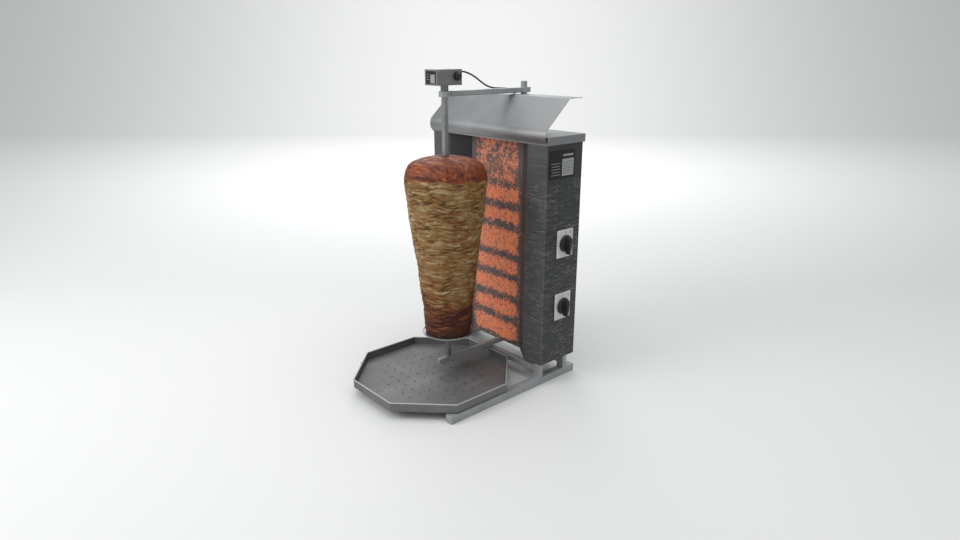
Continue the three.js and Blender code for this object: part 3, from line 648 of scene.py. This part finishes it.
def dress(node, look, edge=0.0):
    """Better material and softly broken edges for a CAD node that stays."""
    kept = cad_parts[node]
    for place in kept.material_slots:
        place.material = look
    if not edge:
        return
    kept.data.shade_smooth()
    kept.modifiers.new("one_skin", "WELD").merge_threshold = 1e-5
    flat = kept.modifiers.new("whole_faces", "DECIMATE")
    flat.decimate_type = "DISSOLVE"
    flat.angle_limit = math.radians(1)
    soften(kept, edge, 2)
    kept.modifiers.new("even_normals", "WEIGHTED_NORMAL").keep_sharp = True


# ---------- meat on the spit
SLICE_SEED, WELD_SEED = 7, 11  # where the random draws start
MEAT_COLUMNS = 360
MEAT_ROWS = 330


def meat_outline():
    """Outer line of the CAD cone, as (radius, height) from foot to crown."""
    rings = {}
    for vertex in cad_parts["meat_cone"].data.vertices:
        radius = round(math.hypot(vertex.co.x - SPIT.x, vertex.co.y - SPIT.y), 4)
        height = round(vertex.co.z, 4)
        rings[height] = max(radius, rings.get(height, 0))
    return [Vector((radius, height)) for height, radius in sorted(rings.items())]


def even_steps(path, count):
    """The same path with corners eased and its points evenly spaced."""
    points = fillet(path, 0.03, 6)
    spans = [0.0]
    for a, b in zip(points, points[1:]):
        spans.append(spans[-1] + (b - a).length)
    targets = np.linspace(0, spans[-1], count)
    radii = np.interp(targets, spans, [p.x for p in points])
    heights = np.interp(targets, spans, [p.y for p in points])
    return radii, heights


def slice_seeds(draw, outline, across, thick):
    """Jittered middles of slices all round the cone, with the tone of each."""
    seeds = []
    low, high = outline[0].y, outline[-1].y + 0.01
    heights = [p.y for p in outline]
    radii = [p.x for p in outline]
    level = low
    while level < high:
        radius = float(np.interp(level, heights, radii))
        count = max(5, round(2 * math.pi * radius / across))
        start = draw.random()
        for i in range(count):
            turn = 2 * math.pi * (i + start + draw.uniform(-0.38, 0.38)) / count
            z = level + draw.uniform(-0.5, 0.5) * thick
            seeds.append((radius * math.cos(turn), radius * math.sin(turn), z, draw.random()))
        level += thick
    return seeds


def slice_finder(seeds, across, thick):
    """Nearest and second nearest slice, in a space where every slice is about one unit big."""
    tree = KDTree(len(seeds))
    for i, (x, y, z, _) in enumerate(seeds):
        tree.insert((x / across, y / across, z / thick), i)
    tree.balance()

    def find(x, y, z):
        (_, first, near), (_, _, far) = tree.find_n((x / across, y / across, z / thick), 2)
        droop = (seeds[first][2] - z) / thick
        return near, far - near, seeds[first][3], droop

    return find


def smooth_share(value, low, high):
    t = min(max((value - low) / (high - low), 0.0), 1.0)
    return t * t * (3 - 2 * t)


class MeatSurface:
    """How far slices, gaps and the crown push the skin out, and the tone fields that colour it, painted
    shade in the gaps among them.
    """

    big, small = (0.074, 0.0098), (0.030, 0.0048)  # width and thickness of the slices

    def __init__(self, outline):
        draw = random.Random(SLICE_SEED)
        self.find_big = slice_finder(slice_seeds(draw, outline, *self.big), *self.big)
        self.find_small = slice_finder(slice_seeds(draw, outline, *self.small), *self.small)
        self.foot = outline[0].y
        self.shoulder = outline[-7].y

    def sample(self, radius, height, turn):
        """Push along the outward normal, then tone, gap, crown and roast, at one point of the skin."""
        x, y = radius * math.cos(turn), radius * math.sin(turn)
        sway = noise.noise(Vector((x, y, height * 0.6)) * 24)
        curl = noise.noise(Vector((x + 3, y, height * 1.5)) * 62)
        z = height + 0.0085 * sway + 0.0030 * curl
        near_big, room_big, tone_big, droop_big = self.find_big(x, y, z)
        near_small, room_small, tone_small, droop_small = self.find_small(x, y, z + 0.002 * curl)
        ragged = 0.020 * noise.noise(Vector((x + 5, y, 0)) * 14) + 0.005 * curl
        above = height + ragged - self.shoulder
        crown = smooth_share(height + ragged, self.shoulder - 0.003, self.shoulder + 0.005)
        deep = noise.noise(Vector((x, y + 7, height)) * 30)
        gap_big = 1 - smooth_share(room_big, 0.02, 0.24)
        gap_small = 1 - smooth_share(room_small, 0.0, 0.26)
        gap_big *= 0.25 + 0.75 * smooth_share(deep, -0.15, 0.30)
        gap_small *= 0.20 + 0.45 * smooth_share(-deep, -0.3, 0.3)
        split = noise.noise(Vector((x, y + 11, 0)) * 16)
        crevice = math.exp(-((above + 0.003) / 0.004) ** 2) * smooth_share(split, -0.05, 0.3)
        gap_big = max(gap_big, crevice)
        fine = noise.fractal(Vector((x, y, height * 2.2)) * 210, 0.8, 2.0, 3)
        bulk = noise.noise(Vector((x, y, height)) * 13)
        swell = 0.0016 * (1 - near_big ** 2) + 0.0010 * droop_big + 0.0016 * (tone_big - 0.5)
        swell += 0.0008 * (1 - near_small ** 2) + 0.0008 * droop_small
        swell -= 0.0034 * gap_big + 0.0017 * gap_small
        swell += 0.00045 * fine + 0.0022 * bulk
        dome = 0.0012 * sway + 0.0009 * curl + 0.0003 * fine
        edge_hold = smooth_share(radius, 0.018, 0.05)
        foot_hold = 0.3 + 0.7 * smooth_share(height, self.foot, self.foot + 0.006)
        push = (swell * (1 - crown) + dome * crown - 0.003 * crevice) * edge_hold * foot_hold
        tone = 0.55 * tone_big + 0.45 * tone_small
        # the gap field marks where the colour gets painted shade
        gap = max(gap_big, 0.75 * gap_small) * (1 - 0.9 * crown)
        browned = height + 0.035 * sway + 0.02 * deep
        roast = 1 - smooth_share(browned, self.foot + 0.02, self.foot + 0.165)
        return push, (tone, gap, crown, roast)


def make_meat(look):
    outline = meat_outline()
    radii, heights = (list(map(float, values)) for values in even_steps(outline, MEAT_ROWS))
    surface = MeatSurface(outline)
    turns = [2 * math.pi * column / MEAT_COLUMNS for column in range(MEAT_COLUMNS)]
    verts, fields = [], []
    for row, (radius, height) in enumerate(zip(radii, heights)):
        ahead, back = min(row + 1, MEAT_ROWS - 1), max(row - 1, 0)
        along = Vector((radii[ahead] - radii[back], heights[ahead] - heights[back])).normalized()
        for turn in turns:
            push, values = surface.sample(radius, height, turn)
            r = radius + push * along.y
            verts.append((SPIT.x + r * math.cos(turn), SPIT.y + r * math.sin(turn), height - push * along.x))
            fields.append(values)
    # two rings close the skin round the spit, over the crown and under the foot
    hole = radii[-1] * 0.42
    for height in (heights[-1], heights[0]):
        for turn in turns:
            verts.append((SPIT.x + hole * math.cos(turn), SPIT.y + hole * math.sin(turn), height))
            fields.append((0.0, 0.0, 1.0, 0.0))
    rows = MEAT_ROWS + 2
    faces = []
    for row in range(rows):
        below, above = row * MEAT_COLUMNS, ((row + 1) % rows) * MEAT_COLUMNS
        for column in range(MEAT_COLUMNS):
            beside = (column + 1) % MEAT_COLUMNS
            faces.append((below + column, below + beside, above + beside, above + column))
    mesh = bpy.data.meshes.new("meat")
    mesh.from_pydata(verts, [], faces)
    for name, values in zip(("slice_tone", "gap", "crown", "roast"), zip(*fields)):
        mesh.attributes.new(name, "FLOAT", "POINT").data.foreach_set("value", values)
    mesh.shade_smooth()
    mesh.materials.append(look)
    meat = placed("meat", mesh)
    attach(meat, "spit")
    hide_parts("meat_cone")


# ---------- spit, plate and screws
def knurled(profile, place, lay, flutes, depth, band, segments=96):
    """Turned piece whose rim between two heights carries flutes."""
    path = [p for p in fillet(profile, 0.0005, 3) if p.x > 1e-7]
    rings = []
    for p in path:
        inside = band[0] <= p.y <= band[1]
        ring = []
        for i in range(segments):
            turn = 2 * math.pi * i / segments
            radius = p.x - (depth * (0.5 + 0.5 * math.cos(turn * flutes)) if inside else 0.0)
            ring.append(Vector((radius * math.cos(turn), radius * math.sin(turn), p.y)))
        rings.append(ring)
    bm = loft(rings)
    bm.transform(Matrix.Translation(place) @ lay)
    return bm


def make_spit(look):
    low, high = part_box("spit_rod")
    width = high.x - low.x
    tang_top = high.z
    shoulder = tang_top - 0.015
    bar_foot = low.z + 0.0136
    section = fillet(rectangle(width, width, (SPIT.x, SPIT.y)), 0.0008, 3, closed=True)
    levels = [(bar_foot, 0.93), (bar_foot + 0.0006, 1.0), (shoulder - 0.0006, 1.0), (shoulder, 0.93)]
    centre = Vector((SPIT.x, SPIT.y))
    rings = [[Vector((*(centre + (p - centre) * share), level)) for p in section] for level, share in levels]
    piece("spit_bar", loft(rings), look, "spit", ("spit_rod",))
    journal_long = bar_foot + 0.001 - low.z
    journal = [(0, 0), (0.003, 0), (0.003, journal_long), (0, journal_long)]
    piece("spit_journal", turned(journal, Vector((SPIT.x, SPIT.y, low.z)), 40), look, "spit")
    tang = fillet(rectangle(0.008, 0.008, (SPIT.x, SPIT.y)), 0.0005, 2, closed=True)
    piece("spit_tang", upright(tang, (shoulder - 0.001, tang_top)), look, "spit", edge=0.0004)

    plate_low, plate_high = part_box("meat_plate")
    reach = (plate_high.x - plate_low.x) / 2
    thick = plate_high.z - plate_low.z
    bore = width / 2 + 0.0003
    rim = [(bore, 0), (reach, 0), (reach, thick), (reach - 0.0025, thick), (reach - 0.004, thick * 0.72),
           (bore, thick * 0.72)]
    piece("meat_tray_plate", turned(rim, Vector((SPIT.x, SPIT.y, plate_low.z)), 96, 0.0006, bored=True),
          look, "spit", ("meat_plate",))
    hub_low, hub_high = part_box("plate_hub")
    hub_reach = (hub_high.x - hub_low.x) / 2
    hub_tall = hub_high.z - hub_low.z
    hub = [(bore, 0), (hub_reach - 0.001, 0), (hub_reach, 0.0015), (hub_reach, hub_tall), (bore, hub_tall)]
    piece("hub_collar", turned(hub, Vector((SPIT.x, SPIT.y, hub_low.z)), 56, 0.0006, bored=True),
          look, "spit", ("plate_hub",))
    make_thumb_screw("plate_thumb_screw", "spit", look, 0.013)


def make_thumb_screw(node, body, look, shank):
    low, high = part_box(node)
    long = high.y - low.y
    reach = (high.x - low.x) / 2
    profile = [(0, 0), (0.0025, 0), (0.0025, shank), (reach * 0.8, shank), (reach, shank + 0.0012),
               (reach, long - 0.0012), (reach * 0.85, long), (0, long)]
    x, _, z = middle(node)
    bm = knurled(profile, Vector((x, low.y, z)), TOWARDS_Y, 24, 0.0005, (shank + 0.0006, long - 0.0006))
    piece(node + "_knurled", bm, look, body, (node,))


# ---------- mast and arm
def combined(operation, parts):
    """The first solid with the others joined to it by UNION, or taken from it by DIFFERENCE."""
    made = [shown(f"part_{i}", bm) for i, bm in enumerate(parts)]
    first = made[0]
    for other in made[1:]:
        change = first.modifiers.new("combine", "BOOLEAN")
        change.operation = operation
        change.solver = "EXACT"
        change.object = other
    whole = bmesh.new()
    evaluated = first.evaluated_get(bpy.context.evaluated_depsgraph_get())
    whole.from_mesh(evaluated.to_mesh())
    evaluated.to_mesh_clear()
    for part in made:
        mesh = part.data
        bpy.data.objects.remove(part)
        bpy.data.meshes.remove(mesh)
    return whole


def make_mast(look):
    low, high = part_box("mast")
    reach = (high.x - low.x) / 2
    foot = Vector((MAST.x, MAST.y, low.z))
    tall = high.z - low.z
    profile = [(0, 0), (reach, 0), (reach, tall - 0.0012), (reach - 0.0012, tall), (reach - 0.0035, tall),
               (reach - 0.0035, tall - 0.0016), (0, tall - 0.0016)]
    piece("mast_tube", turned(profile, foot, 56, 0.0004), look, BODY, ("mast",))
    low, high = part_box("mast_collar")
    wide = (high.x - low.x) / 2
    tall = high.z - low.z
    bore = reach + 0.0003
    profile = [(bore, 0), (wide, 0), (wide, tall - 0.003), (wide - 0.003, tall), (bore, tall)]
    piece("mast_flange", turned(profile, Vector((MAST.x, MAST.y, low.z)), 56, 0.0008, bored=True),
          look, BODY, ("mast_collar",))


def make_upper_arm(look):
    low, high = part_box("upper_arm")
    tall = high.z - low.z
    bar_width = 0.014
    ring, hub = 0.0155, 0.015
    outline = rectangle(bar_width, tall - 0.001, (0, (high.z + low.z) / 2))
    section = fillet(outline, 0.0022, 4, closed=True)

    def bar_between(start, end):
        return loft([[Vector((SPIT.x + p[0], y, p[1])) for p in section] for y in (start, end)])

    bar = bar_between(SPIT.y + 0.0118, MAST.y - 0.0115)
    collar = turned([(0.0115, 0), (ring, 0), (ring, tall), (0.0115, tall)],
                    Vector((SPIT.x, SPIT.y, low.z)), 56, 0.001, bored=True)
    clamp = turned([(0.0096, 0), (hub, 0), (hub, tall), (0.0096, tall)],
                   Vector((MAST.x, MAST.y, low.z)), 56, 0.001, bored=True)
    nose = bar_between(MAST.y + 0.0125, high.y)
    arm = combined("UNION", [bar, collar, clamp, nose])
    piece("upper_arm_bar", arm, look, BODY, ("upper_arm",))


# ---------- drip tray and its sieve plate
def octagon(flat, height, corner=0.005, steps=4):
    reach = flat / math.cos(math.pi / 8)
    points = []
    for i in range(8):
        turn = math.pi / 8 + i * math.pi / 4
        points.append(Vector((reach * math.cos(turn), reach * math.sin(turn))))
    return [Vector((TRAY.x + p.x, TRAY.y + p.y, height)) for p in fillet(points, corner, steps, closed=True)]


def make_tray(look):
    low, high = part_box("drip_tray")
    half = (high.x - low.x) / 2
    wall, floor = 0.0015, 0.0012
    bead = 0.0019
    tall = high.z - low.z
    profile = [(0.02, 0), (half - 0.001, 0), (half - 0.001, tall - 2 * bead)]
    profile = fillet(profile, 0.004, 5)
    centre = Vector((half - bead, tall - bead))
    roll = []
    for step in range(11):
        turn = -0.5 + step * (math.pi + 1.0) / 10
        roll.append(centre + bead * Vector((math.cos(turn), math.sin(turn))))
    inner = [(half - 0.001 - wall, tall - 2 * bead - 0.0004), (half - 0.001 - wall, floor), (0.02, floor)]
    inner = fillet(inner, 0.003, 5)
    rings = [octagon(p.x, low.z + p.y) for p in profile + roll + inner]
    piece("tray_pan", loft(rings), look, "tray", ("drip_tray",))


def make_sieve(look):
    low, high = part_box("tray_insert")
    half = (high.x - low.x) / 2
    pitch, hole, reach = 0.0338, 0.0024, 4
    loops = [octagon(half, 0, 0.004, 3)]
    for i in range(-reach, reach + 1):
        for j in range(-reach, reach + 1):
            if abs(i) + abs(j) > 6:
                continue
            loops.append(circle(hole, 18, (TRAY.x + i * pitch, TRAY.y + j * pitch)))
    sieve = plate(loops, high.z - 0.0012, high.z, 0.00025)
    piece("tray_sieve", sieve, look, "insert", ("tray_insert",))
    # the skirt stands clear of the rounded corner inside the pan
    foot = [octagon(half - inset, level) for inset, level in
            ((0.0045, low.z), (0.003, low.z), (0.003, high.z - 0.0014), (0.0045, high.z - 0.0014))]
    piece("sieve_skirt", loft(foot, ring_of_rings=True), look, "insert")


# ---------- hood
def make_hood(look):
    low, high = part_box("hood")
    thick = 0.0012
    centre = Vector((0.0162 - ORIGIN.y, 0.718))
    radius = 0.0285
    first_turn, last_turn, steps = 3.86, 2.46, 24
    turns = [first_turn + (last_turn - first_turn) * i / steps for i in range(steps + 1)]
    nose = [centre + radius * Vector((math.cos(turn), math.sin(turn))) for turn in turns]
    slope_top = Vector((0.079 - ORIGIN.y, 0.8127))
    back = Vector((high.y, high.z))
    path = fillet(nose + [slope_top, back], 0.006, 6)
    inner = offset_path(path, -thick)
    section = path + list(reversed(inner))
    notch_low, notch_high = MAST.x - 0.029, MAST.x + 0.012
    sheet = extruded(section, low.x, high.x)
    notch_front, notch_back = MAST.y - 0.019, high.y + 0.01
    notch = rectangle(notch_high - notch_low, notch_back - notch_front,
                      ((notch_low + notch_high) / 2, (notch_front + notch_back) / 2))
    tool = upright(notch, (high.z - 0.01, high.z + 0.01))
    notched = combined("DIFFERENCE", [sheet, tool])
    piece("hood_sheet", notched, look, BODY, ("hood",), edge=0.0003)


# ---------- controls
def on_side(y, z, x):
    """Plane on the cabinet's right side: its X runs back, its Y runs up, its Z points out."""
    return Matrix(((0, 0, 1, x), (1, 0, 0, y), (0, 1, 0, z), (0, 0, 0, 1)))


def on_front(x, z, y):
    """Plane that faces the cook: its X runs right, its Y runs up, its Z points to the front."""
    return Matrix(((1, 0, 0, x), (0, 0, -1, y), (0, 1, 0, z), (0, 0, 0, 1)))


def numeral(name, text, place, size, look):
    curve = bpy.data.curves.new(name, "FONT")
    curve.body = text
    curve.size = size
    curve.align_x = "CENTER"
    curve.align_y = "CENTER"
    curve.extrude = 0.00012
    bm = baked(curve)
    bm.transform(place)
    piece(name, bm, look)


def make_bezel(level, look, ink):
    low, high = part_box("bezel_" + level)
    _, y, z = middle("bezel_" + level)
    thick = high.x - low.x
    outline = fillet(rectangle(high.y - low.y, high.z - low.z), 0.0035, 5, closed=True)
    hole = circle(0.005, 24)
    bm = plate([outline, hole], 0, thick, 0.0007, on_side(y, z, low.x))
    piece("switch_plate_" + level, bm, look, BODY, ("bezel_" + level,))
    for text, across, up in (("1", 0.001, 0.0325), ("2", 0.0225, 0.0305)):
        spot = on_side(y + across, z + up, high.x + 0.0001)
        numeral(f"mark_{text}_{level}", text, spot, 0.0105, ink)


def make_knob(level, look, ink):
    node = "control_knob_" + level
    low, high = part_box(node)
    _, y, z = middle("bezel_" + level)
    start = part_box("bezel_" + level)[1].x + 0.0003
    reach = (high.y - low.y) / 2
    tall = high.x - start
    body = "knob_" + level
    skirt = [(0, -0.028), (0.003, -0.028), (0.003, 0.0012), (reach, 0.0012), (reach, 0.0046),
             (reach - 0.0012, 0.0074), (reach - 0.004, 0.0088), (0.012, 0.0092), (0, 0.0092)]
    base = turned(skirt, Vector((start, y, z)), 72, 0.0009, lay=TOWARDS_X)
    grip = knob_grip(reach, tall)
    grip.transform(on_side(y, z, start))
    piece("knob_skirt_" + level, base, look, body, (node,))
    piece("knob_grip_" + level, grip, look, body)
    line = plate([fillet(rectangle(0.0012, 0.012, (0, -reach + 0.004)), 0.0005, 3, closed=True)],
                 tall - 0.0004, tall + 0.0002, 0.0001, on_side(y, z, start))
    piece("knob_pointer_" + level, line, ink, body)


def knob_grip(reach, tall):
    """Wedge grip of a rotary knob: long pointed nose down, broad rounded back."""
    rings = []
    levels = 12
    for i in range(levels + 1):
        share = i / levels
        height = 0.006 + (tall - 0.006) * share
        back_half, nose_half = 0.0070 - 0.0016 * share, 0.0036 - 0.0008 * share
        nose = reach + 0.0058 - 0.0008 * share
        back = reach - 0.0035 - 0.0030 * share
        if i == levels:
            back_half, nose_half, nose, back = (v - 0.0006 for v in (back_half, nose_half, nose, back))
        outline = [(-nose_half, -nose), (nose_half, -nose), (back_half, back), (-back_half, back)]
        ring = fillet(outline, 0.0020, 5, closed=True)
        rings.append([Vector((p.x, p.y, height)) for p in ring])
    return loft(rings)


# ---------- motor trim
def make_motor_knob(look, ink):
    low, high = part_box("motor_switch_knob")
    reach = (high.y - low.y) / 2
    _, y, z = middle("motor_switch_knob")
    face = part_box("motor_housing_cover")[1].x
    shaft = low.x - face
    tall = high.x - face
    profile = [(0, shaft), (0.002, shaft), (0.002, 0.0003), (reach, 0.0003), (reach, 0.0018),
               (reach - 0.0008, tall - 0.0016), (reach - 0.0026, tall), (0, tall)]
    place = Vector((face, y, z))
    bm = knurled(profile, place, TOWARDS_X, 18, 0.0007, (0.0015, tall - 0.0012), 144)
    piece("motor_knob_fluted", bm, look, "motor_knob", ("motor_switch_knob",))
    line = plate([fillet(rectangle(0.0009, 0.005, (0, reach * 0.55)), 0.0004, 3, closed=True)],
                 tall - 0.0003, tall + 0.0002, 0.0001, on_side(y, z, face))
    piece("motor_knob_pointer", line, ink, "motor_knob")


def make_strain_relief(look):
    x, _, z = middle("motor_strain_relief")
    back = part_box("motor_housing_cover")[1].y
    place = Vector((x, back, z))
    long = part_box("motor_strain_relief")[1].y - back
    step = (long - 0.0042) / 4
    profile = [(0, -0.004), (0.005, -0.004), (0.005, -0.0019), (0.003, -0.0019), (0.003, 0.0003),
               (0.005, 0.0003), (0.005, 0.0026)]
    for i in range(4):
        start = 0.0030 + i * step
        radius = 0.0044 - 0.0003 * i
        profile += [(radius, start), (radius - 0.0001, start + 0.0017), (0.0029, start + 0.0019),
                    (0.0029, start + step - 0.0002)]
    profile += [(0.0029, long - 0.0004), (0.0027, long), (0, long)]
    bm = turned(profile, place, 40, 0.0002, lay=TOWARDS_Y)
    piece("strain_relief_ribbed", bm, look, BODY, ("motor_strain_relief",))


def make_gland(look):
    low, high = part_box("lid_cord_gland")
    x, y, _ = middle("lid_cord_gland")
    lid_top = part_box("top_lid")[1].z
    place = Vector((x, y, lid_top))
    foot, tall = low.z - lid_top, high.z - lid_top
    stem = [(0, foot), (0.0036, foot), (0.0036, 0.0003), (0.006, 0.0003), (0.006, 0.0012), (0.0052, 0.0018),
            (0.0052, 0.0062), (0.0046, 0.0080), (0.0032, tall - 0.0016), (0.0030, tall), (0, tall)]
    bm = knurled(stem, place, Matrix.Identity(4), 12, 0.0005, (0.0017, 0.0064), 72)
    piece("cord_gland_nut", bm, look, BODY, ("lid_cord_gland",))


# ---------- plain data plates
def plate_with_panels(name, node, lay, size, looks, panels):
    """Dark plate with plain lighter panels and ruled bars, given in shares of its size; no lettering."""
    ground, pale = looks
    wide, tall, thick = size
    outline = fillet(rectangle(wide, tall), 0.0012, 4, closed=True)
    piece(name, plate([outline], 0, thick, 0.0002, lay), ground, BODY, (node,))
    for i, (x, y, w, h, tone) in enumerate(panels):
        look, lift = (pale, 0.00012) if tone else (ground, 0.0002)
        panel = rectangle(w * wide, h * tall, (x * wide, y * tall))
        block = plate([panel], thick - 0.0001, thick + lift, 0.00003, lay)
        piece(f"{name}_panel_{i + 1}", block, look)


def make_labels(ground, pale):
    low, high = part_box("data_label_plate")
    _, y, z = middle("data_label_plate")
    panels = [(0.22, -0.11, 0.46, 0.60, True), (0.22, 0.32, 0.40, 0.07, True)]
    panels += [(0.22, 0.09 - row * 0.08, 0.40, 0.012, False) for row in range(6)]
    panels += [(-0.26, 0.05 - row * 0.10, 0.30 if row % 2 else 0.36, 0.016, True) for row in range(5)]
    size = (high.y - low.y, high.z - low.z, high.x - low.x)
    lay = on_side(y, z, low.x)
    plate_with_panels("data_plate", "data_label_plate", lay, size, (ground, pale), panels)

    low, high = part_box("motor_label_plate")
    x, _, z = middle("motor_label_plate")
    panels = [(0.20, -0.10, 0.46, 0.66, True)]
    panels += [(0.20, 0.10 - row * 0.11, 0.38, 0.016, False) for row in range(5)]
    panels += [(-0.28, 0.24 - row * 0.20, 0.20, 0.03, True) for row in range(3)]
    size = (high.x - low.x, high.z - low.z, high.y - low.y)
    lay = on_front(x, z, high.y)
    plate_with_panels("motor_plate", "motor_label_plate", lay, size, (ground, pale), panels)


# ---------- welds of the base frame
def bead(name, path, radius, look, draw):
    """Weld bead round a closed path: a thick wavy string of small overlapping ripples."""
    points = []
    for i, corner in enumerate(path):
        a, b = Vector(corner), Vector(path[(i + 1) % len(path)])
        steps = max(2, round((b - a).length / 0.0008))
        points += [a.lerp(b, step / steps) for step in range(steps)]
    rings = []
    for i, point in enumerate(points):
        along = (points[(i + 1) % len(points)] - points[i - 1]).normalized()
        side = along.orthogonal().normalized()
        up = along.cross(side)
        swell = radius * (1 + 0.16 * math.sin(i * 1.3) + draw.uniform(-0.05, 0.05))
        rings.append([point + p.x * side + p.y * up for p in circle(swell, 8)])
    piece(name, loft(rings, ring_of_rings=True), look)


def make_welds(look):
    draw = random.Random(WELD_SEED)
    for end in ("front", "rear"):
        for side in ("left", "right"):
            low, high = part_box(f"post_{end}_{side}")
            corners = rectangle(high.x - low.x, high.y - low.y, ((low.x + high.x) / 2, (low.y + high.y) / 2))
            path = [(x, y, low.z) for x, y in corners]
            bead(f"weld_foot_{end}_{side}", path, 0.0011, look, draw)


# ---------- put together
make_camera()
rubber = moulded_plastic("flex_rubber", (0.010, 0.010, 0.010), (0.022, 0.022, 0.022), 0.5)
make_cord(rubber)
make_stage()
make_lights()

cabinet_look = rippled_steel()
hood_look = satin_steel("hood_steel", (0.22, 0.222, 0.224), (0.31, 0.312, 0.314), 0.42, (0.02, 1, 1), 6.0)
frame_look = coated_steel()
bright_look = bright_steel()
tray_look = tray_steel()
motor_look = satin_steel("motor_case", (0.19, 0.191, 0.192), (0.26, 0.261, 0.262), 0.50, (1, 0.05, 1), 20.0)
can_look = satin_steel("motor_can", (0.40, 0.40, 0.40), (0.55, 0.55, 0.55), 0.35, (1, 1, 0.1))
plastic = moulded_plastic("black_moulding", (0.012, 0.012, 0.013), (0.024, 0.024, 0.025))
label_ground = moulded_plastic("label_ground", (0.006, 0.0065, 0.007), (0.011, 0.0115, 0.012), 0.5)
label_pale = moulded_plastic("label_pale", (0.26, 0.26, 0.255), (0.34, 0.34, 0.335), 0.5)
bezel_look = moulded_plastic("switch_plate", (0.50, 0.50, 0.48), (0.60, 0.60, 0.58), 0.4)
bronze_look = warm_metal("bearing_bronze", (0.36, 0.22, 0.08), (0.52, 0.34, 0.14))
brass_look = warm_metal("gear_brass", (0.50, 0.36, 0.13), (0.68, 0.52, 0.24))

make_meat(roast_meat())
make_spit(bright_look)
make_mast(frame_look)
make_upper_arm(frame_look)
make_tray(tray_look)
make_sieve(tray_look)
make_hood(hood_look)
for level in ("upper", "lower"):
    make_bezel(level, bezel_look, plastic)
    make_knob(level, plastic, bezel_look)
make_motor_knob(plastic, bezel_look)
make_strain_relief(plastic)
make_gland(plastic)
make_labels(label_ground, label_pale)
make_welds(frame_look)

KEPT = {
    frame_look: (0.0009, [
        "rail_left", "rail_right", "cross_tube_front", "cross_tube_rear", "post_front_left",
        "post_rear_left", "post_front_right", "post_rear_right", "lower_arm", "mast_cradle",
    ]),
    cabinet_look: (0.0004, ["side_panel_right", "side_panel_left", "rear_panel", "bottom_plate"]),
    hood_look: (0.0005, ["top_lid", "hood_bracket_left", "hood_bracket_right"]),
    motor_look: (0.0008, ["motor_neck", "motor_housing_base", "motor_housing_cover"]),
    bright_look: (0.0003, ["drive_coupling", "cover_screw_right", "cover_screw_left", "spit_bush",
                           "arm_clamp_screw"]),
    bronze_look: (0.0002, ["arm_bush"]),
    brass_look: (0.0, ["output_gear", "motor_pinion"]),
    can_look: (0.0005, ["synchronous_motor"]),
    plastic: (0.0004, ["motor_switch", "mains_gland", "power_switch_upper", "power_switch_lower"]),
    glowing_pane(): (0.0, ["radiant_pane"]),
    fibre_board(): (0.0, ["insulation_board"]),
    scaled_alloy(): (0.0, [f"heater_element_{i}" for i in range(1, 5)]),
}
for look, (edge, nodes) in KEPT.items():
    for node in nodes:
        dress(node, look, edge)
